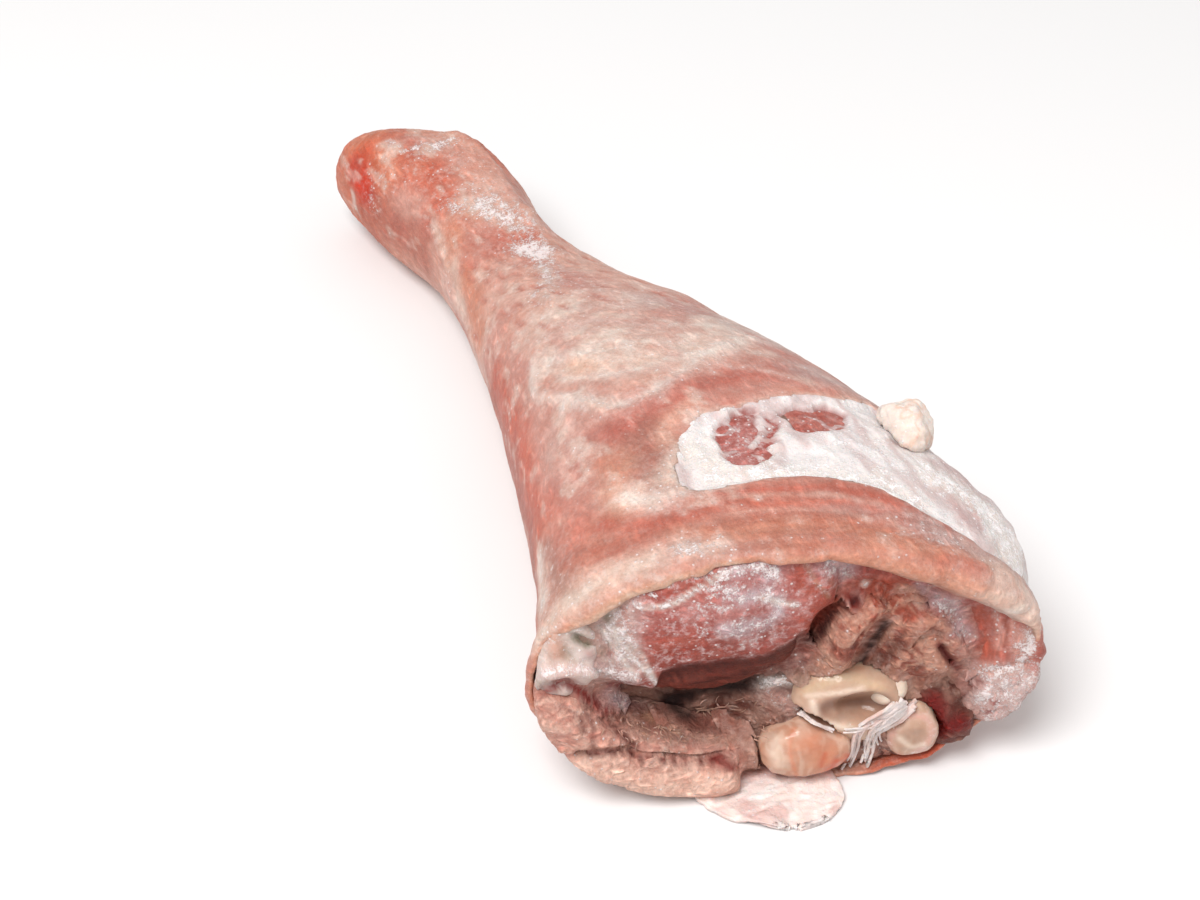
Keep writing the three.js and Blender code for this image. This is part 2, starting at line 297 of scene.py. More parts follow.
shades = {
    "skin": (224, 177, 161), "skinPink": (204, 146, 132), "skinUnder": (216, 168, 150),
    "peach": (228, 180, 160), "palePink": (214, 170, 158), "rosy": (190, 104, 90),
    "knob": (212, 124, 96), "knobLow": (184, 104, 84), "deepRed": (212, 54, 24),
    "orangeRed": (200, 88, 58), "orange": (212, 128, 94), "ridgePink": (196, 124, 108),
    "cream": (236, 214, 200), "white": (240, 226, 216), "fatPeach": (228, 174, 144),
    "brownRed": (172, 88, 72), "brown": (166, 104, 90), "greyPink": (198, 178, 174),
    "band": (182, 106, 88), "bandOrange": (208, 138, 110), "rim": (216, 152, 126),
    "rimCream": (226, 190, 166), "redStreak": (184, 76, 58), "fascia": (238, 230, 228),
    "holeMeat": (158, 84, 76), "mauve": (186, 146, 142), "calf": (186, 106, 96),
    "calfLow": (146, 70, 54), "calfDark": (84, 26, 16), "darkRed": (116, 40, 36),
    "brightRed": (182, 84, 64), "blood": (132, 22, 16), "tan": (178, 132, 106),
    "sideWhite": (212, 194, 186), "greenGrey": (132, 122, 100), "outerMeat": (186, 110, 98),
    "striated": (216, 158, 144), "foldGrey": (150, 112, 98), "fold": (160, 92, 76),
    "foldTip": (208, 156, 134), "crevice": (66, 18, 14), "deep": (140, 82, 70),
    "deepDark": (34, 12, 9), "deepPale": (196, 150, 132), "lobe": (214, 156, 140),
    "lobeLow": (248, 206, 186), "lobeGrey": (192, 136, 120), "crease": (112, 54, 46),
    "cartilage": (198, 164, 142), "ball": (196, 148, 124), "ballPeach": (202, 132, 102),
    "dish": (132, 94, 78), "bonePink": (196, 132, 116), "marrow": (150, 74, 60),
    "calfPink": (208, 144, 138), "lilac": (214, 186, 190), "rawRed": (150, 62, 52),
    "orangeMeat": (178, 84, 62), "paleFrost": (222, 192, 186), "fibre": (168, 124, 106),
    "dishLow": (172, 136, 116), "crescent": (206, 178, 150), "deepBrown": (116, 66, 54),
    "calfRed": (164, 76, 62), "outerLow": (166, 88, 70), "boneWhite": (230, 208, 190),
    "flap": (252, 232, 226), "flapWhite": (255, 248, 244), "orangeEdge": (198, 92, 62),
}
exposure = 0.95  # the lights lift a colour a little, so the paint is laid on lower


def colourOf(shade):
    share = np.array(shades[shade], float) / 255
    return np.where(share <= 0.04045, share / 12.92, ((share + 0.055) / 1.055) ** 2.4) * exposure


# Colour and cover of a piece's points. Cover holds frost and wetness.
class Coat:
    def __init__(self, points, shade, frost=0.0, wet=0.0):
        self.points = points
        self.tint = np.tile(colourOf(shade), (len(points), 1))
        self.cover = np.zeros((len(points), 4))
        self.cover[:, 0] = frost
        self.cover[:, 1] = wet
        self.cover[:, 3] = 1

    def wash(self, mask, shade=None, frost=None, wet=None):
        if shade:
            self.tint += (colourOf(shade) - self.tint) * mask[:, None]
        for channel, value in ((0, frost), (1, wet)):
            if value is not None:
                self.cover[:, channel] += (value - self.cover[:, channel]) * mask

    # patches where the noise is between two levels: its grain is size, seed, octaves and stretch
    def patches(self, kind, grain, levels, strength, shade, frost=None):
        self.wash(smooth(kind(self.points, *grain), *levels) * strength, shade, frost)

    def shadeBy(self, amount):
        self.tint *= np.clip(amount, 0, 3)[:, None]

    # where the points are for a stroke: in space, or across and up the knee cut
    def stroke(self, where, path, width, strength, fray, seed, *paint):
        reach = width * (2.2 + fray)
        away = distanceTo(where, finer(path), reach)
        close = away < reach
        if not close.any():
            return
        warp = np.zeros(len(where))
        solid = self.points[close]
        warp[close] = (noise(solid, max(width, 1.2) * 1.1, seed, 3) - 0.5) * 2 * fray * width
        mask = np.where(close, hump(np.maximum(away + warp, 0), width), 0) * strength
        self.wash(mask, *paint)


# Every stroke is a shade or None, width in mm, strength, fray and path, then frost and wetness
# where it changes them. On the skin the path is in t and degrees.
def paintSkin(coat, strokes):
    for seed, (shade, width, strength, fray, path, *cover) in enumerate(strokes):
        coat.stroke(coat.points, onSkin(path), width, strength, fray, seed + 3, shade, *cover)


# On the knee cut the path is in mm across and up it, as the eye sees it.
def paintCut(coat, strokes, deepest=-16):
    where, out = seenPlaces(coat.points)
    where[out < deepest] = farOff
    for seed, (shade, width, strength, fray, path, *cover) in enumerate(strokes):
        coat.stroke(where, kneePath(path), width, strength, fray, seed + 41, shade, *cover)


# A path on the cut, or the named one.
def kneePath(path):
    return kneeLines[path] if isinstance(path, str) else path


# ---- meshes ----

def pointsOf(mesh):
    flat = np.empty(len(mesh.vertices) * 3)
    mesh.vertices.foreach_get("co", flat)
    return flat.reshape(-1, 3) / mm


def normalsOf(mesh):
    flat = np.empty(len(mesh.vertices) * 3)
    mesh.vertices.foreach_get("normal", flat)
    return flat.reshape(-1, 3)


def setPoints(mesh, points):
    mesh.vertices.foreach_set("co", (points * mm).ravel())
    mesh.update()


def newObject(name, mesh):
    piece = bpy.data.objects.new(name, mesh)
    bpy.context.scene.collection.objects.link(piece)
    return piece


# A mesh opened for editing and written back after it.
@contextmanager
def editing(mesh):
    bm = bmesh.new()
    bm.from_mesh(mesh)
    yield bm
    bm.to_mesh(mesh)
    bm.free()


# The mesh that an object's modifiers make.
def finalMesh(piece):
    seen = piece.evaluated_get(bpy.context.evaluated_depsgraph_get())
    return bpy.data.meshes.new_from_object(seen)


# A flat grid, with the row and column of each of its points.
def gridMesh(name, rows, columns):
    mesh = bpy.data.meshes.new(name)
    with editing(mesh) as bm:
        bmesh.ops.create_grid(bm, x_segments=columns, y_segments=rows, size=0.5)
    spots = pointsOf(mesh) * mm + 0.5
    column, row = np.round(spots[:, :2] * (columns, rows)).astype(int).T
    return mesh, row, column


def keepValues(mesh, **values):
    for name, value in values.items():
        found = mesh.attributes.get(name) or mesh.attributes.new(name, "FLOAT", "POINT")
        found.data.foreach_set("value", value.astype(np.float32))


def valuesOf(mesh, name):
    flat = np.empty(len(mesh.vertices), np.float32)
    mesh.attributes[name].data.foreach_get("value", flat)
    return flat.astype(float)


def dress(piece, coat, finish, slot, *nodes):
    mesh = piece.data
    tint = np.column_stack([coat.tint, np.ones(len(coat.tint))])
    for name, values in (("tint", tint), ("cover", coat.cover)):
        layer = mesh.attributes.new(name, "FLOAT_COLOR", "POINT")
        layer.data.foreach_set("color", np.clip(values, 0, 1).astype(np.float32).ravel())
    mesh.shade_smooth()
    mesh.materials.clear()
    mesh.materials.append(finish)
    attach(piece, "root")
    if nodes:
        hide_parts(*nodes)
    print(piece.name, "made,", sum(len(p.vertices) - 2 for p in mesh.polygons), "triangles")
    return piece


# A merged, evenly meshed copy of a CAD node, swollen a little to close on its neighbours.
def softCopy(name, node, setup, rounds=3):
    bm = bmesh.new()
    bm.from_mesh(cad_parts[node].data)
    bmesh.ops.remove_doubles(bm, verts=bm.verts, dist=1e-6)
    mesh = bpy.data.meshes.new(name)
    bm.to_mesh(mesh)
    bm.free()
    piece = newObject(name, mesh)
    remesh = piece.modifiers.new("remesh", "REMESH")
    remesh.mode = "VOXEL"
    remesh.voxel_size = setup["voxel"] * mm
    even = finalMesh(piece)
    piece.modifiers.clear()
    piece.data = even
    bpy.data.meshes.remove(mesh)
    even.name = name
    with editing(even) as bm:
        soften(bm, bm.verts, rounds)
    setPoints(even, pointsOf(even) + normalsOf(even) * setup["swell"])
    return piece, pointsOf(even), normalsOf(even)


# A sheet made solid, with its thickness laid on below it.
def thicken(mesh, depth):
    piece = newObject(mesh.name + "Sheet", mesh)
    wall = piece.modifiers.new("wall", "SOLIDIFY")
    wall.thickness = depth * mm
    wall.offset = -1
    solid = finalMesh(piece)
    bpy.data.objects.remove(piece)
    return solid


def soften(bm, verts, rounds):
    axes = {"use_axis_x": True, "use_axis_y": True, "use_axis_z": True}
    for _ in range(rounds):
        bmesh.ops.smooth_vert(bm, verts=verts, factor=0.5, **axes)


# Takes away the faces that the test picks.
def cutAway(bm, test):
    bmesh.ops.delete(bm, geom=[face for face in bm.faces if test(face)], context="FACES")


def flipIf(bm, wrong):
    if wrong:
        bmesh.ops.reverse_faces(bm, faces=bm.faces)


# ---- finishes ----

# A node's output that can stand in sums.
class Signal:
    def __init__(self, tree, socket):
        self.tree, self.socket = tree, socket

    def combine(self, operation, other, flipped=False):
        node = self.tree.nodes.new("ShaderNodeMath")
        node.operation = operation
        parts = (other, self) if flipped else (self, other)
        for socket, part in zip(node.inputs, parts):
            if isinstance(part, Signal):
                self.tree.links.new(part.socket, socket)
            else:
                socket.default_value = part
        return Signal(self.tree, node.outputs[0])

    def __add__(self, other):
        return self.combine("ADD", other)

    def __radd__(self, other):
        return self.combine("ADD", other, True)

    def __sub__(self, other):
        return self.combine("SUBTRACT", other)

    def __rsub__(self, other):
        return self.combine("SUBTRACT", other, True)

    def __mul__(self, other):
        return self.combine("MULTIPLY", other)


# A material with a short way to add nodes.
class Finish:
    def __init__(self, name):
        self.material = bpy.data.materials.new(name)
        self.material.use_nodes = True
        self.tree = self.material.node_tree
        self.shader = self.tree.nodes["Principled BSDF"]

    # Any node but a Math node: its settings are set first, then its sockets get values or links.
    def node(self, kind, settings=None, sockets=None, output=0):
        made = self.tree.nodes.new("ShaderNode" + kind)
        for key, value in (settings or {}).items():
            setattr(made, key, value)
        for key, value in (sockets or {}).items():
            self.feed(made.inputs[key], value)
        return Signal(self.tree, made.outputs[output])

    def feed(self, socket, value):
        if isinstance(value, Signal):
            self.tree.links.new(value.socket, socket)
        else:
            socket.default_value = value

    def clamp(self, value, low, high):
        settings = {"interpolation_type": "SMOOTHSTEP"}
        return self.node("MapRange", settings, {0: value, 1: low, 2: high})

    def mix(self, share, first, second, blend="MIX"):
        settings = {"data_type": "RGBA", "blend_type": blend}
        return self.node("Mix", settings, {0: share, 6: first, 7: second}, 2)

    # noise with features of the given size in mm
    def texture(self, where, size, detail, rough, distortion=0.0, settings=None):
        return self.node("TexNoise", settings, {
            "Vector": where, "Scale": 1 / (size * mm), "Detail": detail,
            "Roughness": rough, "Distortion": distortion})


# Flesh, skin and fat share one build: painted colour, fine grain, streaks with painted shade in
# their hollows and a painted highlight on their crests, and frost that breaks up into crystals.
def fleshFinish(name, look):
    finish = Finish(name)
    where = finish.node("TexCoord", output=3)
    tint = finish.node("Attribute", {"attribute_name": "tint"})
    cover = finish.node("Attribute", {"attribute_name": "cover"})
    frost = finish.node("SeparateColor", None, {0: cover})
    wet = finish.node("SeparateColor", None, {0: cover}, 1)
    along = finish.node("Mapping", None, {
        "Vector": where, "Rotation": look["turn"], "Scale": look["fibre"]})

    grain = finish.texture(where, look["grain"], 4, 0.7)
    ridges = {"noise_type": "RIDGED_MULTIFRACTAL", "normalize": True}
    fibre = finish.texture(along, look["streak"], 3.0, 0.55, 0.35, ridges)
    mottle = finish.texture(where, look["mottle"], 4, 0.65, 0.3)
    film = finish.texture(where, look["filmSize"], 4, 0.7)
    crystal = finish.texture(where, look["crystal"], 2, 0.8)
    ice = finish.node("TexVoronoi", None, {
        "Vector": where, "Scale": 1 / (look["speckle"] * mm), "Randomness": 1.0})

    blush = finish.clamp(mottle, 0.38, 0.66) * look["blush"]
    flesh = finish.mix(blush, tint, look["blushColour"], "MULTIPLY")
    light = 1 + (grain - 0.5) * look["grainDepth"]
    # the streaks' hollows are painted darker and their crests lighter: painted shade and highlight
    light = light + (fibre - look["fibreMiddle"]) * look["streakDepth"]
    grey = finish.node("CombineColor", None, {0: light, 1: light, 2: light})
    flesh = finish.mix(1.0, flesh, grey, "MULTIPLY")
    flesh = finish.mix(finish.clamp(fibre, 0.5, 0.8) * look["web"], flesh, look["webColour"])
    haze = finish.clamp(film, 0.45, 0.7) * finish.clamp(frost, 0.0, 0.25) * look["film"]
    flesh = finish.mix(haze, flesh, look["filmColour"])
    level = frost + (crystal - 0.5) * 1.1 + (film - 0.5) * 1.2
    rime = finish.clamp(level, 0.48, 0.76) * look["frostCover"]
    speck = finish.clamp(ice, 0.2, 0.1) * finish.clamp(frost + film, 0.62, 0.8) * 0.75
    rime = rime + speck * (1 - rime)
    colour = finish.mix(rime, flesh, look["frostColour"])
    finish.feed(finish.shader.inputs["Base Color"], colour)

    sheen = look["rough"] - wet * look["wetShine"] + (grain - 0.5) * 0.2 + rime * 0.3
    finish.feed(finish.shader.inputs["Roughness"], finish.clamp(sheen, 0.0, 1.0))
    height = grain * look["grainBump"] + fibre * look["streakBump"] + rime * (0.12 + crystal * 0.35)
    bump = finish.node("Bump", None, {
        "Strength": 1.0, "Distance": look["bump"] * mm, "Height": height})
    finish.feed(finish.shader.inputs["Normal"], bump)
    for socket, value in look["shader"].items():
        finish.shader.inputs[socket].default_value = value
    return finish.material


# Sizes are in mm. Fibre squeezes the streaks along each axis, and turn is how they lie.
# streakDepth is how strong the painted shade and highlight along the streaks are
fleshLook = {
    "turn": (0, 0, 0), "fibre": (1.0, 1.0, 1.0), "grain": 0.7, "streak": 2.4, "mottle": 4.0,
    "speckle": 1.6, "filmSize": 1.7, "crystal": 0.42, "blush": 0.5,
    "blushColour": (0.9, 0.62, 0.55, 1), "film": 0.2, "filmColour": (0.76, 0.66, 0.64, 1),
    "grainDepth": 0.5, "streakDepth": 0.3, "fibreMiddle": 0.4, "web": 0.0,
    "webColour": (0.8, 0.66, 0.6, 1), "frostCover": 0.85, "frostColour": (0.82, 0.74, 0.73, 1),
    "rough": 0.55, "wetShine": 0.25, "grainBump": 0.6, "streakBump": 0.5, "bump": 0.35,
    "shader": {
        "Subsurface Weight": 0.1, "Subsurface Scale": 0.0025,
        "Subsurface Radius": (1.0, 0.42, 0.28), "IOR": 1.38, "Specular IOR Level": 0.4,
    },
}
finishes = {
    "skin": fleshFinish("legSkin", fleshLook | {
        "grain": 0.6, "streak": 1.5, "fibre": (0.35, 1, 1), "grainDepth": 0.6, "streakDepth": 0.5,
        "fibreMiddle": 0.35, "blush": 0.5, "blushColour": (0.86, 0.6, 0.52, 1), "film": 0.25,
        "filmColour": (0.84, 0.74, 0.7, 1), "web": 0.25, "webColour": (0.84, 0.74, 0.68, 1),
        "bump": 0.55}),
    "fascia": fleshFinish("whiteFascia", fleshLook | {
        "blush": 0.15, "blushColour": (0.86, 0.72, 0.72, 1), "grainDepth": 0.3, "streakDepth": 0.35,
        "frostColour": (0.88, 0.83, 0.83, 1), "filmColour": (0.84, 0.78, 0.77, 1),
        "fibre": (0.35, 1.0, 1.0), "bump": 0.4}),
    "fat": fleshFinish("fat", fleshLook | {
        "blush": 0.25, "blushColour": (0.94, 0.82, 0.74, 1), "grainDepth": 0.2,
        "shader": fleshLook["shader"] | {"Subsurface Weight": 0.2}}),
    "meat": fleshFinish("leanMeat", fleshLook | {
        "grain": 0.55, "streak": 1.2, "fibre": (1, 0.45, 1), "turn": (0.5, 0, 0.3),
        "grainDepth": 0.6, "streakDepth": 0.8, "fibreMiddle": 0.32, "blush": 0.75,
        "blushColour": (0.78, 0.46, 0.42, 1), "web": 0.3, "webColour": (0.66, 0.42, 0.4, 1),
        "film": 0.6, "filmColour": (0.72, 0.54, 0.53, 1), "bump": 0.6}),
    "thighMeat": fleshFinish("striatedMeat", fleshLook | {
        "grain": 0.55, "streak": 1.0, "fibre": (1, 1, 0.25), "grainDepth": 0.6, "streakDepth": 0.8,
        "fibreMiddle": 0.28, "blush": 0.5, "blushColour": (0.84, 0.52, 0.46, 1), "web": 0.3,
        "webColour": (0.62, 0.38, 0.34, 1), "film": 0.35, "filmColour": (0.66, 0.44, 0.42, 1),
        "bump": 0.55}),
    "dryMeat": fleshFinish("dryMeat", fleshLook | {
        "grain": 0.55, "streak": 1.3, "fibre": (1, 0.6, 1), "grainDepth": 0.7, "streakDepth": 1.2,
        "fibreMiddle": 0.2, "blush": 0.4, "blushColour": (0.9, 0.6, 0.54, 1), "web": 0.4,
        "webColour": (0.72, 0.5, 0.42, 1), "film": 0.3, "filmColour": (0.78, 0.58, 0.5, 1),
        "rough": 0.65, "bump": 0.8, "streakBump": 1.2}),
    "cartilage": fleshFinish("cartilage", fleshLook | {
        "grain": 1.2, "grainDepth": 0.14, "streak": 2.4, "streakDepth": 0.22, "blush": 0.3,
        "film": 0.25, "filmColour": (0.8, 0.74, 0.68, 1), "blushColour": (0.95, 0.78, 0.66, 1),
        "rough": 0.32, "bump": 0.12, "shader": fleshLook["shader"] | {"Subsurface Weight": 0.3}}),
}
print("finishes made")


# ---- skin ----

skinPiece = {
    "rows": 262, "columns": 264, "lipRows": 8, "lipBulge": 0.42,
    "insideRows": 10, "insideTo": 0.085,
    "rowSpread": (0.58, 2.2),  # the even share of the rows, and how fast the others thin out
    "ankleRows": 12, "ankleBulge": 3.2, "snap": 0.45, "thin": 0.45, "wall": 1.5, "ragged": 3.0,
    "window": [
        (0.098, 110), (0.144, 110), (0.172, 103), (0.19, 90), (0.198, 70), (0.202, 48), (0.185, 24),
        (0.14, 6), (0.08, 0), (0.035, 12), (0.024, 32), (0.043, 54), (0.086, 74), (0.104, 92),
    ],
    "holes": [
        [(0.16, 100), (0.18, 94), (0.186, 90), (0.184, 87), (0.172, 86), (0.15, 90), (0.134, 92),
         (0.124, 96), (0.132, 100)],
        [(0.184, 83), (0.192, 74), (0.19, 66), (0.172, 70), (0.162, 79), (0.164, 84)],
    ],
    "alongScale": 300, "aroundScale": 0.72,  # mm for each t and degree, near the window
    # round the leg in degrees: how thick the skin and its fat are at the knee rim, and how far
    # the rim is drawn back, in mm
    "lip": [
        (0, 0.9), (12, 1.6), (20, 4.4), (28, 5.6), (45, 6.6), (60, 6.0), (74, 4.4), (86, 2.6),
        (102, 2.2), (114, 3.6), (146, 4.0), (160, 1.8), (180, 1.0), (250, 0.9), (300, 1.3),
        (345, 0.9),
    ],
    "drawn": [
        (0, 2.0), (18, 0.4), (35, 0.0), (75, 0.0), (95, 0.6), (150, 0.8), (172, 2.5), (192, 4.5),
        (215, 6.5), (245, 6.5), (258, 3.0), (270, 0.5), (290, 1.0), (305, 2.0), (320, 3.0),
        (345, 3.5),
    ],
}


def windowPlace(t, angle):
    angle = (np.asarray(angle, float) + 90) % 360 - 90
    along = np.asarray(t, float) * skinPiece["alongScale"]
    return np.stack([along, angle * skinPiece["aroundScale"]], axis=1)


# The same in space, for the noises.
def unrolled(t, angle):
    return np.column_stack([windowPlace(t, angle), np.zeros(len(t))])


windowLine = closedLine(windowPlace(*np.array(skinPiece["window"]).T), 70)
holeLines = [closedLine(windowPlace(*np.array(line).T), 30) for line in skinPiece["holes"]]


# How far outside the torn window a place is, in mm, with a ragged edge.
def tearAway(t, angle):
    flat = unrolled(t, angle)
    ragged = bumps(flat, 3.2, 4.5, 5, 3) + bumps(flat, 1.0, 1.3, 6, 2)
    return insideOf(flat[:, :2], windowLine) + ragged


def holeAway(t, angle):
    flat = unrolled(t, angle)
    nearest = np.minimum(*(insideOf(flat[:, :2], line) for line in holeLines))
    return nearest + bumps(flat, 3.0, 3.0, 8, 3)


# Places in t and degrees for the skin's rolling, folds and ridges.
skinForms = {
    "ridges": [  # path, width, and height, or depth below 0
        ([(0.868, 66), (0.792, 62), (0.713, 62), (0.643, 67), (0.573, 78), (0.5, 84)], 2.6, 0.9),
        ([(0.852, 55), (0.774, 50), (0.675, 56), (0.6, 66)], 2.2, 0.7),
        ([(0.307, 139), (0.287, 144), (0.265, 144), (0.236, 132), (0.206, 123), (0.2, 115),
          (0.208, 106), (0.23, 93), (0.271, 78), (0.285, 65)], 1.5, 0.7),
        ([(0.307, 139), (0.297, 128), (0.279, 121), (0.271, 113), (0.279, 102),
          (0.285, 93)], 1.1, 0.4),
        ([(0.641, 149), (0.605, 156), (0.569, 162)], 1.4, 0.8),
        ([(0.563, 178), (0.515, 180), (0.465, 180), (0.427, 180)], 1.6, 0.5),
        ([(0.86, 60), (0.78, 56), (0.7, 58), (0.62, 65)], 1.6, -0.8),
        ([(0.655, 146), (0.62, 152), (0.585, 158)], 1.5, -0.7),
        ([(0.3, 134), (0.27, 128), (0.25, 118), (0.25, 105), (0.275, 88)], 3.0, -0.45),
    ],
    "dashLength": (0.011, 1.5),
    "dashes": [  # the pits that feathers leave
        (0.543, 112), (0.535, 123), (0.507, 131), (0.489, 138), (0.469, 117), (0.435, 124),
        (0.395, 111), (0.375, 138), (0.405, 131), (0.52, 118), (0.5, 112), (0.48, 126),
        (0.455, 134), (0.45, 108), (0.425, 116), (0.41, 142), (0.56, 126), (0.57, 114), (0.39, 124),
        (0.35, 128), (0.365, 114), (0.44, 146), (0.465, 150), (0.53, 140), (0.515, 148), (0.43, 98),
        (0.4, 92), (0.37, 98), (0.48, 84), (0.45, 78), (0.52, 76), (0.5, 66), (0.42, 70),
        (0.38, 76), (0.46, 58), (0.55, 60), (0.42, 40), (0.48, 36), (0.54, 30), (0.39, 20),
        (0.45, 12), (0.51, 4), (0.57, 14), (0.36, 50), (0.4, 168), (0.45, 176), (0.5, 190),
        (0.55, 200), (0.42, 196), (0.47, 210), (0.36, 186),
    ],
}


def skinRelief(points, t, angle):
    rise = bumps(points, 1.5, 26, 1, 2) + bumps(points, 0.9, 9, 2, 3)
    rise += wrinkles(points, 0.35, 4.2, 3, 2, (1.9, 1.0, 1.0)) * smooth(t, 0.25, 0.0)
    # knob and neck are puckered finely across the leg
    pucker = wrinkles(points, 0.34, 2.4, 4, 2, (0.55, 1.5, 1.5))
    rise += pucker * (0.35 + 0.65 * smooth(t, 0.6, 0.75))
    for path, width, height in skinForms["ridges"]:
        rise += hump(distanceTo(points, finer(onSkin(path)), width * 3), width) * height
    rim = hump(t, 0.022) * hump(angleGap(angle, 48), 42)
    rise += rim * (1.0 + bumps(points, 1.6, 6, 9, 2) + bumps(points, 1.2, 2.2, 13, 3))
    return rise


def dashMask(points):
    mask = np.zeros(len(points))
    ends = np.array(skinForms["dashes"], float)
    starts = surface(*ends.T)
    stops = surface(*(ends - skinForms["dashLength"]).T)
    for start, stop in zip(starts, stops):
        mask = np.maximum(mask, hump(distanceTo(points, [start, stop], 3), 0.75))
    return mask


def paintLegSkin(coat, t, angle):
    turned = (angle + 90) % 360 - 90
    points = coat.points
    streaks = noise(points, 5.5, 21, 3, (3.2, 0.7, 0.9)) - 0.5
    coat.wash(smooth(turned, 40, -30), "skinUnder")
    coat.wash(smooth(t, 0.66, 0.78), "knob")
    coat.wash(smooth(t, 0.42, 0.25) * 0.9, "skinPink")
    coat.patches(noise, (9, 24, 3), (0.5, 0.8), 0.45, "peach")
    paintSkin(coat, skinStrokes)
    flow = noise(points, 3.2, 22, 3, (4.0, 0.8, 0.8)) - 0.5
    low = smooth(t, 0.3, 0.1)
    coat.shadeBy(1 + streaks * 0.4 * (0.4 + 0.6 * low) + flow * 0.3 * low)
    coat.patches(noise, (7, 23, 4, (1.6, 1, 1)), (0.5, 0.68), 0.4, "rosy")
    topSide = 0.35 + 0.65 * hump(angleGap(angle, 110), 75)
    specks = smooth(noise(points, 3.2, 25, 3, (1.8, 1, 1)), 0.58, 0.72)
    coat.wash(specks * 0.45 * topSide, "cream", 0.45)
    coat.shadeBy(1 + bumps(points, 0.3, 2.0, 26, 2))
    bandPlaces = unrolled(t, angle)
    onBand = smooth(t, 0.12, 0.07) * hump(angleGap(angle, 80), 70)
    coat.shadeBy(1 + bumps(bandPlaces, 0.6, 1.7, 28, 3, (0.7, 7, 1)) * onBand)
    coat.wash(onBand * 0.25, "band")
    dashes = dashMask(points)
    coat.wash(dashes * 0.75, "ridgePink")
    coat.wash(hump(angleGap(angle, 180), 70) * smooth(t, 0.2, 0.0) * 0.25, "rimCream")


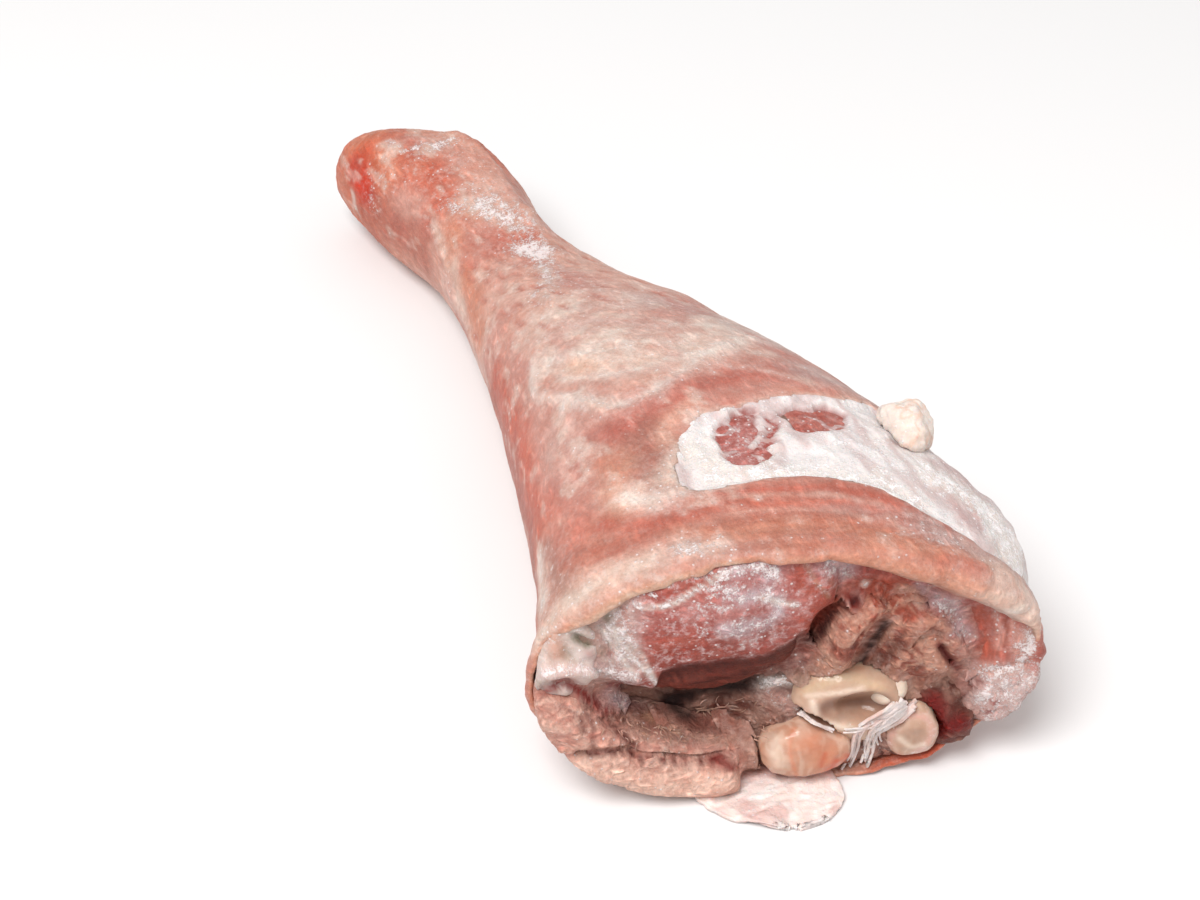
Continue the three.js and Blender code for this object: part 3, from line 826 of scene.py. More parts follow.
skinStrokes = [
    # knob
    ("orange", 9, 0.5, 0.3, [(0.96, 120), (0.9, 150), (0.86, 172)]),
    ("knobLow", 8, 0.85, 0.25, [(0.8, 178), (0.72, 172), (0.653, 178)], 0.0),
    ("orange", 6, 0.55, 0.4, [(0.86, 148), (0.83, 138), (0.8, 132)]),
    ("deepRed", 4.6, 1.0, 0.45, [(0.85, 152), (0.82, 162)], 0.0),
    ("deepRed", 3.2, 0.8, 0.5, [(0.86, 163), (0.83, 164), (0.795, 165)], 0.0),
    ("orangeRed", 3.0, 0.55, 0.5, [(0.86, 142), (0.85, 150)]),
    ("orangeRed", 4.5, 0.7, 0.6, [(0.752, 100), (0.72, 104), (0.683, 108)]),
    ("orangeRed", 3.6, 0.65, 0.6, [(0.74, 128), (0.7, 124), (0.671, 118)]),
    ("orangeRed", 2.8, 0.6, 0.5, [(0.665, 134), (0.64, 128)]),
    ("orangeRed", 4.0, 0.5, 0.6, [(0.82, 104), (0.79, 112)]),
    ("peach", 6, 0.65, 0.4, [(0.9, 80), (0.86, 76), (0.82, 84)]),
    ("skin", 2.4, 0.55, 0.4, [(0.84, 72), (0.76, 68), (0.68, 70), (0.62, 76)], 0.25),
    ("palePink", 4, 0.6, 0.4, [(0.83, 96), (0.78, 88), (0.74, 84)], 0.3),
    ("palePink", 5, 0.7, 0.4, [(0.45, 96), (0.4, 98), (0.36, 100)], 0.35),
    ("ridgePink", 5, 0.6, 0.3, [(0.86, 56), (0.78, 50), (0.7, 52), (0.64, 58)]),
    ("palePink", 4, 0.5, 0.5, [(0.72, 150), (0.69, 142)]),
    ("white", 1.0, 0.95, 0.2, [(0.852, 178), (0.846, 187)], 0.3),
    (None, 2.6, 0.9, 0.5, [(0.79, 168), (0.766, 172)], 0.55),
    (None, 3.6, 0.8, 0.6, [(0.8, 150), (0.764, 143)], 0.5),
    (None, 2.2, 0.9, 0.5, [(0.808, 114), (0.8, 96), (0.814, 82)], 0.75),
    ("cream", 1.6, 0.9, 0.5, [(0.85, 120), (0.83, 112)], 0.6),
    (None, 5.5, 0.6, 0.7, [(0.74, 114), (0.7, 92), (0.67, 84)], 0.42),
    (None, 3.5, 0.8, 0.6, [(0.66, 124), (0.64, 112)], 0.6),
    # neck
    ("cream", 1.6, 0.85, 0.3, [(0.641, 147), (0.605, 154), (0.569, 160)], 0.3),
    ("knobLow", 1.4, 0.6, 0.3, [(0.65, 152), (0.615, 160), (0.585, 166)]),
    ("orange", 4.6, 0.75, 0.4, [(0.6, 132), (0.583, 140), (0.549, 148), (0.495, 156),
     (0.431, 168)]),
    ("palePink", 3.2, 0.8, 0.3, [(0.563, 180), (0.515, 186), (0.465, 186), (0.427, 186),
     (0.385, 182)], 0.4),
    ("cream", 2.6, 0.6, 0.4, [(0.56, 150), (0.53, 166), (0.5, 174)]),
    ("orangeRed", 3.6, 0.7, 0.5, [(0.533, 112), (0.549, 100), (0.54, 90)]),
    ("skinPink", 5, 0.5, 0.3, [(0.56, 122), (0.52, 120), (0.47, 122)]),
    (None, 4.6, 0.95, 0.5, [(0.63, 92), (0.6, 92), (0.573, 89)], 0.78),
    (None, 3.6, 0.8, 0.5, [(0.62, 80), (0.58, 80), (0.541, 84)], 0.6),
    (None, 4.4, 0.95, 0.35, [(0.52, 96), (0.5, 92)], 0.85),
    (None, 3.4, 0.9, 0.5, [(0.475, 97), (0.45, 102), (0.425, 108)], 0.66),
    (None, 4.6, 0.85, 0.6, [(0.407, 116), (0.371, 119), (0.343, 121)], 0.55),
    # the fatty bend
    ("cream", 10, 0.9, 0.35, [(0.345, 112), (0.31, 108), (0.29, 92), (0.3, 72), (0.31, 58)], 0.2),
    ("cream", 6, 0.85, 0.3, [(0.29, 130), (0.268, 120), (0.252, 106), (0.262, 90)], 0.2),
    ("greyPink", 7, 0.5, 0.35, [(0.36, 84), (0.33, 66), (0.29, 56)], 0.25),
    ("fatPeach", 2.2, 0.6, 0.5, [(0.276, 126), (0.262, 120)]),
    ("white", 1.5, 0.7, 0.5, [(0.307, 139), (0.287, 145), (0.265, 145), (0.236, 133)], 0.35),
    ("white", 2.6, 0.85, 0.4, [(0.236, 133), (0.214, 123), (0.207, 115), (0.213, 106), (0.235, 93),
     (0.27, 78), (0.285, 62)], 0.35),
    ("white", 0.9, 0.8, 0.4, [(0.3, 134), (0.282, 120), (0.272, 104)]),
    ("white", 0.9, 0.8, 0.4, [(0.268, 134), (0.25, 121), (0.244, 108), (0.256, 92)]),
    ("white", 1.0, 0.7, 0.4, [(0.325, 108), (0.302, 92), (0.3, 76)]),
    ("white", 0.8, 0.6, 0.5, [(0.292, 114), (0.275, 96), (0.284, 80)]),
    ("white", 0.9, 0.6, 0.5, [(0.34, 124), (0.318, 112)]),
    # the red bend under it and the left side
    ("brownRed", 8, 0.8, 0.3, [(0.36, 182), (0.26, 180), (0.15, 178), (0.06, 182)]),
    ("orangeRed", 5, 0.85, 0.45, [(0.355, 170), (0.313, 168), (0.261, 166), (0.2, 164),
     (0.15, 164)]),
    ("palePink", 5.5, 0.6, 0.3, [(0.2, 152), (0.22, 142), (0.19, 138)]),
    ("palePink", 6, 0.7, 0.35, [(0.202, 142), (0.17, 146), (0.14, 142), (0.12, 136)]),
    ("rosy", 3.4, 0.6, 0.5, [(0.19, 130), (0.184, 122)]),
    ("rosy", 4.4, 0.7, 0.35, [(0.178, 122), (0.186, 114), (0.196, 106), (0.208, 98), (0.218, 88),
     (0.222, 76), (0.214, 66)]),
    ("brownRed", 2.6, 0.4, 0.5, [(0.21, 96), (0.228, 84), (0.232, 72), (0.222, 62)]),
    ("palePink", 1.6, 0.7, 0.5, [(0.236, 88), (0.226, 76), (0.214, 64)], 0.3),
    ("brown", 4.4, 0.8, 0.35, [(0.165, 119), (0.172, 112), (0.15, 116), (0.13, 120)]),
    ("brown", 3.2, 0.95, 0.35, [(0.172, 113), (0.155, 114), (0.136, 113)]),
    ("greyPink", 5, 0.6, 0.4, [(0.24, 62), (0.22, 48), (0.21, 34)], 0.25),
    ("peach", 2.4, 0.75, 0.35, [(0.19, 101), (0.182, 107), (0.16, 112)]),
    ("fatPeach", 3.6, 0.6, 0.5, [(0.16, 128), (0.12, 128), (0.09, 130)]),
    ("white", 2.8, 0.95, 0.25, [(0.112, 126), (0.095, 121), (0.092, 115), (0.1, 110)], 0.35),
    ("cream", 3.2, 0.8, 0.5, [(0.12, 114), (0.135, 112)], 0.45),
    ("orangeRed", 4.2, 0.55, 0.5, [(0.09, 140), (0.12, 148), (0.16, 156)]),
    ("brown", 3.6, 0.85, 0.4, [(0.12, 161), (0.07, 155), (0.036, 150)], 0.2),
    ("white", 2.6, 0.9, 0.5, [(0.13, 168), (0.09, 168), (0.06, 164)], 0.5),
    ("orangeRed", 1.0, 0.8, 0.5, [(0.07, 150), (0.058, 140), (0.058, 130)]),
    ("redStreak", 0.8, 0.8, 0.5, [(0.056, 146), (0.046, 136), (0.046, 128)]),
    # the band between the window and the rim
    ("redStreak", 2.6, 0.85, 0.35, [(0.088, 134), (0.072, 126), (0.06, 118), (0.066, 108),
     (0.072, 100)]),
    ("brownRed", 2.4, 0.8, 0.4, [(0.08, 150), (0.062, 138), (0.05, 126), (0.044, 116)]),
    ("band", 4.2, 0.75, 0.35, [(0.07, 104), (0.078, 92), (0.074, 80), (0.056, 68), (0.03, 56),
     (0.012, 42)]),
    ("rosy", 2.2, 0.65, 0.5, [(0.052, 96), (0.05, 82), (0.036, 70), (0.016, 58)]),
    ("greyPink", 1.8, 0.5, 0.6, [(0.06, 84), (0.05, 72)]),
    ("redStreak", 0.9, 0.5, 0.9, [(0.086, 100), (0.084, 88), (0.07, 74), (0.05, 62), (0.03, 50)]),
    ("orangeRed", 0.8, 0.5, 0.9, [(0.066, 96), (0.064, 84), (0.05, 72), (0.03, 60)]),
    ("cream", 0.7, 0.35, 0.9, [(0.058, 104), (0.056, 92), (0.046, 80), (0.028, 68)]),
    ("cream", 0.7, 0.35, 0.9, [(0.076, 112), (0.078, 100), (0.076, 88), (0.062, 74)]),
    ("brownRed", 0.8, 0.7, 0.4, [(0.044, 108), (0.042, 96), (0.036, 84), (0.018, 68)]),
    ("bandOrange", 3.2, 0.75, 0.3, [(0.034, 112), (0.03, 100), (0.032, 88), (0.018, 76),
     (0.004, 62)]),
    ("greyPink", 3.8, 0.9, 0.4, [(0.036, 64), (0.02, 52), (0.012, 36), (0.01, 20)], 0.45),
    ("rim", 2.6, 0.8, 0.25, [(0.0, 92), (0.0, 78), (0.0, 64), (0.0, 50), (0.0, 38)]),
    ("cream", 3.6, 0.95, 0.3, [(0.0, 42), (0.0, 30), (0.0, 14)], 0.3),
    ("cream", 3.2, 1.0, 0.25, [(0.012, 166), (0.014, 152), (0.014, 138), (0.014, 124),
     (0.02, 112)], 0.3),
    ("white", 2.6, 0.9, 0.5, [(0.018, 112), (0.016, 104)], 0.6),
    ("brown", 1.6, 0.6, 0.5, [(0.006, 104), (0.008, 92)], 0.35),
    ("rosy", 5, 0.7, 0.5, [(0.004, 176), (0.01, 190), (0.02, 205)], 0.3),
    # right flank
    ("palePink", 7, 0.8, 0.5, [(0.0, 4), (0.02, -8), (0.03, -24)], 0.55),
    ("orangeEdge", 2.0, 0.7, 0.6, [(0.0, -6), (0.0, -22)]),
    (None, 9, 0.5, 0.5, [(0.1, -14), (0.2, -6), (0.3, 4)], 0.35),
    ("palePink", 12, 0.5, 0.5, [(0.3, 210), (0.2, 230), (0.1, 240)], 0.3),
    ("palePink", 10, 0.5, 0.5, [(0.6, 240), (0.5, 270), (0.4, 300)], 0.3),
]


# Rows from a pole hidden inside, out over the rim, along the leg and in over the ankle end.
def skinRows():
    setup = skinPiece
    # each row is t, depth in the skin, how far it bulges out, and its share of the section's size
    depths = zip(np.linspace(setup["insideTo"], 0.006, setup["insideRows"]),
                 np.linspace(0.9, 1, setup["insideRows"]))
    inner = [(t, 1.0, 0.0, share) for t, share in depths]
    inner[0] = (setup["insideTo"], 1.0, 0.0, 0.0)
    lip = np.linspace(0, np.pi, setup["lipRows"] + 1)[1:]
    rim = [(0.0, (1 - math.cos(a)) / 2, math.sin(a) * setup["lipBulge"], 1.0) for a in lip[::-1]]
    count = setup["rows"] - len(inner) - len(rim) - setup["ankleRows"] + 1
    spread = np.linspace(0, 1, count)
    even, power = setup["rowSpread"]
    along = [(t, 0.0, 0.0, 1.0) for t in (even * spread + (1 - even) * spread**power)]
    close = [(1.0, 0.0, 0.0, share) for share in np.linspace(0.97, 0, setup["ankleRows"])]
    return np.array(inner + rim + along + close)


def makeLegSkin():
    rows = skinRows()
    setup = skinPiece
    mesh, row, column = gridMesh("legSkin", len(rows) - 1, setup["columns"])
    t, depth, out, reach = rows[row].T
    share = column / setup["columns"]
    # columns are closer together above and below than at the sides
    angle = 360 * share - 90 + 26 * np.sin(4 * np.pi * share) / (2 * np.pi)
    # the rows near the tear close on its line
    away = tearAway(t, angle)
    stepT, stepA = 0.0006, 0.2
    slopeT = (tearAway(t + stepT, angle) - away) / (stepT * setup["alongScale"])
    slopeA = (tearAway(t, angle + stepA) - away) / (stepA * setup["aroundScale"])
    steep = np.maximum(slopeT**2 + slopeA**2, 0.3)
    close = (np.abs(away) < setup["snap"]) & (depth == 0) & (t > 0.005) & (t < 0.4)
    snap = np.where(close, away, 0) / steep
    t = t - snap * slopeT / setup["alongScale"]
    angle = angle - snap * slopeA / setup["aroundScale"]
    thick = leg["wall"] + (roundLeg(angle, setup["lip"]) - leg["wall"]) * smooth(t, 0.1, 0.0)
    nearRim = (depth > 0) | (t < 0.03)
    rimPoints = surface(np.zeros_like(t), angle)
    ragged = np.where(nearRim, bumps(rimPoints, setup["ragged"], 5, 31, 3), 0)
    ragged -= roundLeg(angle, setup["drawn"])
    ragged *= np.where(depth > 0, 1, hump(t, 0.03))
    points = surface(t, angle, thick * depth, thick * out + ragged)
    centre = place(t, np.zeros_like(t), np.zeros_like(t))
    ankle = (t > 0.999) & (reach < 1)
    points = centre + (points - centre) * reach[:, None]
    bulge = np.sqrt(np.clip(1 - reach**2, 0, 1))
    points[ankle, 0] -= setup["ankleBulge"] * bulge[ankle]
    setPoints(mesh, points)
    keepValues(mesh, along=t, angle=angle, away=np.where(depth > 0, 9, away), inner=depth)
    with editing(mesh) as bm:
        bmesh.ops.remove_doubles(bm, verts=bm.verts, dist=2e-6)
        layer = bm.verts.layers.float["away"]
        cutAway(bm, lambda face: sum(v[layer] for v in face.verts) / len(face.verts) < 0)
        soften(bm, [v for v in bm.verts if v.is_boundary], 3)
        bmesh.ops.recalc_face_normals(bm, faces=bm.faces)
    t, angle, inner = (valuesOf(mesh, name) for name in ("along", "angle", "inner"))
    points, normals = pointsOf(mesh), normalsOf(mesh)
    rise = skinRelief(points, t, angle) * (1 - smooth(inner, 0.3, 0.9))
    rise += wrinkles(points, 0.7, 2.2, 12, 2, (1, 2, 1)) * hump(inner - 0.5, 0.4)
    rise -= dashMask(points) * 0.35
    thin = hump(np.maximum(valuesOf(mesh, "away"), 0), 1.3)
    rise -= thin * setup["thin"] * (1 - inner)
    points = points + normals * rise[:, None]
    setPoints(mesh, keepUp(points))
    # the torn edge gets a wall
    with editing(mesh) as bm:
        tearEdges = [e for e in bm.edges if e.is_boundary]
        normal = {v.index: v.normal.copy() for e in tearEdges for v in e.verts}
        grown = bmesh.ops.extrude_edge_only(bm, edges=tearEdges)["geom"]
        bm.verts.index_update()
        for vert in (g for g in grown if isinstance(g, bmesh.types.BMVert)):
            vert.co -= Vector(normalNear(vert, normal)) * setup["wall"] * mm
    t, angle, inner = (valuesOf(mesh, name) for name in ("along", "angle", "inner"))
    coat = Coat(pointsOf(mesh), "skin", 0.1, 0.3)
    paintLegSkin(coat, t, angle)
    coat.wash(smooth(inner, 0.1, 0.4), "rim", 0.12)
    pale = smooth(noise(coat.points, 4, 27, 2, (1, 2.5, 1)), 0.4, 0.62) * smooth(inner, 0.3, 0.7)
    pale = np.maximum(pale, smooth(inner, 0.15, 0.5) * hump(angleGap(angle, 132), 24))
    coat.wash(pale, "rimCream", 0.2)
    coat.wash(smooth(inner, 0.05, 0.3) * hump(angleGap(angle, 28), 16), "cream", 0.2)
    coat.wash(smooth(inner, 0.15, 0.5) * hump(angleGap(angle, 305), 24), "orangeEdge")
    # painted shade on the skin's inner face, just inside the rim
    coat.wash(hump(inner - 0.9, 0.1) * 0.5, "crease")
    coat.wash(hump(valuesOf(mesh, "away"), 0.8) * 0.45, "cream", 0.3)
    return dress(newObject("legSkin", mesh), coat, finishes["skin"], "skin", "skin")


def normalNear(vert, normals):
    for edge in vert.link_edges:
        other = edge.other_vert(vert)
        if other.index in normals:
            return normals[other.index]
    return (0, 0, 1)


# ---- fascia ----

fasciaPiece = {
    "rows": 170, "columns": 190, "start": (0.0, -12), "end": (0.225, 122),
    "dip": 1.0, "holeDip": 1.5, "under": 0.35, "lap": 1.4, "thick": 1.0,
    "septum": ([(0.19, 87), (0.178, 89), (0.164, 90), (0.15, 93)], 0.8),  # the wall across the hole
}


def makeFascia():
    setup = fasciaPiece
    mesh, row, column = gridMesh("fasciaSheet", setup["rows"], setup["columns"])
    t = np.interp(row, (0, setup["rows"]), (setup["start"][0], setup["end"][0]))
    angle = np.interp(column, (0, setup["columns"]), (setup["start"][1], setup["end"][1]))
    away, hole = tearAway(t, angle), holeAway(t, angle)
    points = surface(t, angle)
    path, width = setup["septum"]
    septum = hump(distanceTo(points, finer(onSkin(path)), 4), width)
    low = smooth(t, 0.12, 0.05) * smooth(angle, 40, 90)  # nearly flush along the band
    dip = setup["dip"] * (1 - 0.55 * low) * smooth(away, 0.6, -1.6) + setup["under"]
    webs = smooth(ridged(points, 5.0, 66, 2, (1.0, 1.6, 1.6)), 0.9, 0.98) * 0.45
    inHole = smooth(hole, 0.5, -0.6) * (1 - np.maximum(septum, webs) * 0.85)
    dip = dip + inHole * setup["holeDip"]
    lumps = bumps(points, 1.6, 7, 61, 3) + wrinkles(points, 0.6, 3.0, 62, 2, (2.4, 1, 1))
    # relief of the skin about it goes on underneath
    rise = skinRelief(points, t, angle) * 0.6 + lumps * smooth(away, 0, -4) - dip
    keepValues(mesh, away=away, hole=inHole, along=t, angle=angle, rise=rise)
    setPoints(mesh, points)
    normals = normalsOf(mesh)
    outward = points - place(t, np.zeros_like(t), np.zeros_like(t))
    facing = np.sign((normals * outward).sum(axis=1).mean())
    setPoints(mesh, points + normals * facing * rise[:, None])
    with editing(mesh) as bm:
        layer = bm.verts.layers.float["away"]
        cutAway(bm, lambda face: min(v[layer] for v in face.verts) > setup["lap"])
        flipIf(bm, facing < 0)
    mesh = thicken(mesh, setup["thick"])
    coat = Coat(pointsOf(mesh), "fascia", 0.42, 0.2)
    points, away, hole = coat.points, valuesOf(mesh, "away"), valuesOf(mesh, "hole")
    pinkLines = smooth(ridged(points, 4.5, 63, 3, (3.4, 1, 1)), 0.72, 0.95)
    coat.wash(pinkLines * 0.5, "mauve", 0.25)
    coat.patches(noise, (6, 64, 3), (0.58, 0.8), 0.6, "white", 0.8)
    paintSkin(coat, fasciaStrokes)
    coat.wash(hole, "holeMeat", 0.16)
    webs = smooth(ridged(points, 2.2, 65, 2), 0.86, 0.97)
    coat.wash(hole * webs * 0.8, "fascia", 0.3)
    return dress(newObject("fasciaSheet", mesh), coat, finishes["fascia"], "fascia", "fascia")


fasciaStrokes = [
    ("white", 3.0, 0.85, 0.4, [(0.15, 106), (0.13, 104), (0.112, 104)], 0.6),
    ("white", 3.0, 0.8, 0.4, [(0.112, 96), (0.1, 84), (0.088, 74), (0.07, 66)], 0.75),
    ("mauve", 2.2, 0.75, 0.6, [(0.14, 52), (0.106, 55), (0.064, 50)], 0.3),
    ("holeMeat", 1.2, 0.7, 0.6, [(0.15, 45), (0.11, 47), (0.066, 45)], 0.3),
    ("fascia", 3.0, 0.6, 0.6, [(0.155, 78), (0.14, 72), (0.12, 66)], 0.65),
    ("white", 4.0, 0.8, 0.5, [(0.12, 56), (0.1, 44), (0.08, 30)], 0.8),
    ("mauve", 4.2, 0.6, 0.5, [(0.15, 38), (0.12, 24), (0.09, 12)], 0.3),
    ("white", 3.6, 0.7, 0.5, [(0.05, 36), (0.06, 24)], 0.7),
]


makeLegSkin()
makeFascia()


# ---- fat lump on the shoulder of the window ----

fatPiece = {"voxel": 0.5, "swell": 0.4, "shrink": 0.7}


def makeFatLump():
    piece, points, normals = softCopy("fatLump", "fat_lump", fatPiece)
    rise = bumps(points, 2.2, 5, 71, 2) + wrinkles(points, 0.9, 2.6, 72, 2)
    points = points + normals * rise[:, None]
    # it shrinks towards its foot on the skin
    t, _, _, angle, _ = legPlaces(points.mean(axis=0)[None])
    foot = surface(t, angle)
    points = foot + (points - foot) * fatPiece["shrink"]
    setPoints(piece.data, points)
    coat = Coat(points, "white", 0.35, 0.15)
    coat.patches(noise, (4, 73, 2), (0.5, 0.75), 0.5, "cream")
    coat.patches(ridged, (3.2, 74, 2), (0.86, 0.98), 0.5, "fatPeach")
    return dress(piece, coat, finishes["fat"], "fat", "fat_lump")


makeFatLump()


# ---- the knee cut ----

# Lines in mm across and up the cut that are both shaped and painted, or painted on two pieces.
kneeLines = {
    "outerVein": [(-34.5, 42.2), (-31.5, 36), (-28.1, 29.8)],
    "longVein": [(-32.1, 40.6), (-29.5, 35.9), (-25.9, 30.3), (-23, 25.9)],
    "innerVein": [(-30.4, 41), (-27, 34.6), (-24.9, 29.7)],
    "fatFold": [(-43.8, 31.8), (-40.4, 32.3), (-36, 31.9), (-32, 30.8), (-28.4, 29.8)],
    "upperPit": [(-37.3, 45.4), (-36.1, 43.7)],
    "lowerPit": [(-38.4, 39.7), (-36.6, 38.1)],
    "smallPit": [(-33.3, 37.6), (-33.6, 36)],
    "lobeSeam": [(-43.9, 27.7), (-40.4, 29.1), (-37, 25.9), (-33.4, 22.1)],
    "lobeCrease": [(-41.1, 23.6), (-38.1, 20.5), (-37.1, 16.3)],
    "middleCrease": [(-37.1, 23.2), (-35.6, 17.5), (-35.6, 13.3)],
    "rightCrease": [(-34, 20), (-30.3, 15.6), (-27.9, 12.1)],
    "longCrease": [
        (-38, 11.2), (-30.3, 11.3), (-26.8, 9.2), (-22.7, 8.5), (-16.3, 7.4), (-11.7, 8)],
    "rollLine": [(-35, 8), (-28, 6.6), (-21, 5.2)],
    "lowRollLine": [(-33, 5), (-26, 3.2), (-18, 2.4)],
    "foldGap": [(16.6, 38.6), (15.3, 35.9), (13.8, 32), (12.7, 28.9)],
    "foldEnd": [(27, 32.5), (29.2, 28.7), (30.7, 26.6)],
    "topRidge": [(18.6, 46.5), (20.8, 46), (22.8, 43.1)],
    "sideCrease": [(35.3, 23.3), (32.8, 20.5), (32.5, 17.3), (33.5, 12.9)],
    "bloodPool": [(26.5, 17.8), (27.8, 13.9), (29, 11.2), (32.1, 12.2)],
    "bloodRun": [(27, 18.4), (28.4, 14.6), (30, 12), (33, 12.6)],
    "darkNotch": [(-21.8, 23.1), (-19.8, 20.2), (-18.3, 19.3)],
}
# Rolls and creases on the cut: a line or its name, its width, and how far it stands out.
kneeForms = [
    # calf and the fat beside it
    ([(-24, 44), (-16, 46), (-6, 45), (0, 47)], 7.0, 1.0),
    ([(-28, 54.6), (-20, 54.8), (-10, 56)], 1.3, -1.0),
    ([(-27.7, 46), (-23.8, 45.7), (-20.9, 46.6), (-17.9, 49.1), (-15.2, 50.7), (-11.8, 53.2)],
     0.7, 0.25),
    ("outerVein", 0.6, 0.35),
    ("longVein", 0.6, 0.4),
    ("innerVein", 0.6, 0.3),
    ("fatFold", 1.6, 1.6),
    ("upperPit", 0.9, -1.8),
    ("lowerPit", 0.9, -1.6),
    ("smallPit", 0.8, -1.4),
    ([(-40, 51), (-40.8, 43), (-40, 35)], 1.1, -0.8),
    # the lobe under it
    ("lobeSeam", 1.3, -1.7),
    ([(-39, 19), (-35, 16)], 6.0, 1.2),
    ("lobeCrease", 0.8, -0.9),
    ("middleCrease", 0.8, -0.8),
    ("rightCrease", 0.8, -1.2),
    ([(-32.5, 21.4), (-28.4, 15.5)], 0.7, -0.7),
    ([(-44.7, 22.5), (-43.7, 16.9), (-40.7, 13)], 1.0, -1.0),
    ("longCrease", 1.0, -2.6),
    ([(-37.1, 7), (-30.3, 4.8), (-24.1, 2.7), (-16.2, 1.8), (-10, 2)], 3.2, 2.6),
    ("rollLine", 0.6, -0.6),
    ("lowRollLine", 0.6, -0.6),
    # the folds right of the calf
    ([(11, 45.6), (9.6, 42.6), (6.5, 40.9), (4.9, 36.8), (3.2, 35.7)], 1.6, -5.0),
    ([(15.5, 44.8), (12.7, 41.6), (9.8, 37.1), (8, 31.8)], 2.8, 2.2),
    ([(14.8, 42), (12, 37.6), (9.8, 33)], 0.7, -0.7),
    ([(16.6, 41.6), (14, 36.6), (12, 32)], 0.6, -0.6),
    ("foldGap", 1.4, -4.0),
    ([(16.4, 30), (18.4, 33.5), (21.4, 35.6)], 1.0, -0.9),
    ([(17, 31), (19.8, 29.1), (22.4, 27.1)], 0.7, -0.8),
    ([(20.5, 34.3), (22.4, 37.7), (25, 38.9), (28.5, 36), (31.1, 31.7)], 1.5, 1.8),
    ([(25.4, 32), (28, 29)], 4.0, 1.6),
    ([(21.8, 33.4), (23.8, 35.4), (26, 36.4)], 0.7, -1.1),
    ("foldEnd", 0.8, -2.2),
    ("topRidge", 1.2, 1.0),
    ([(21.5, 42.5), (26, 41.6), (30.5, 38), (32.6, 33)], 1.0, -1.2),
    # right side
    ("sideCrease", 0.9, -1.7),
    ([(36, 24.8), (40, 25.8), (44, 26.6)], 0.9, -0.8),
    ([(35.6, 17.6), (39.6, 20), (43.6, 21.4)], 0.6, -0.6),
    ([(37.6, 14), (41.6, 15.8)], 0.6, -0.6),
]
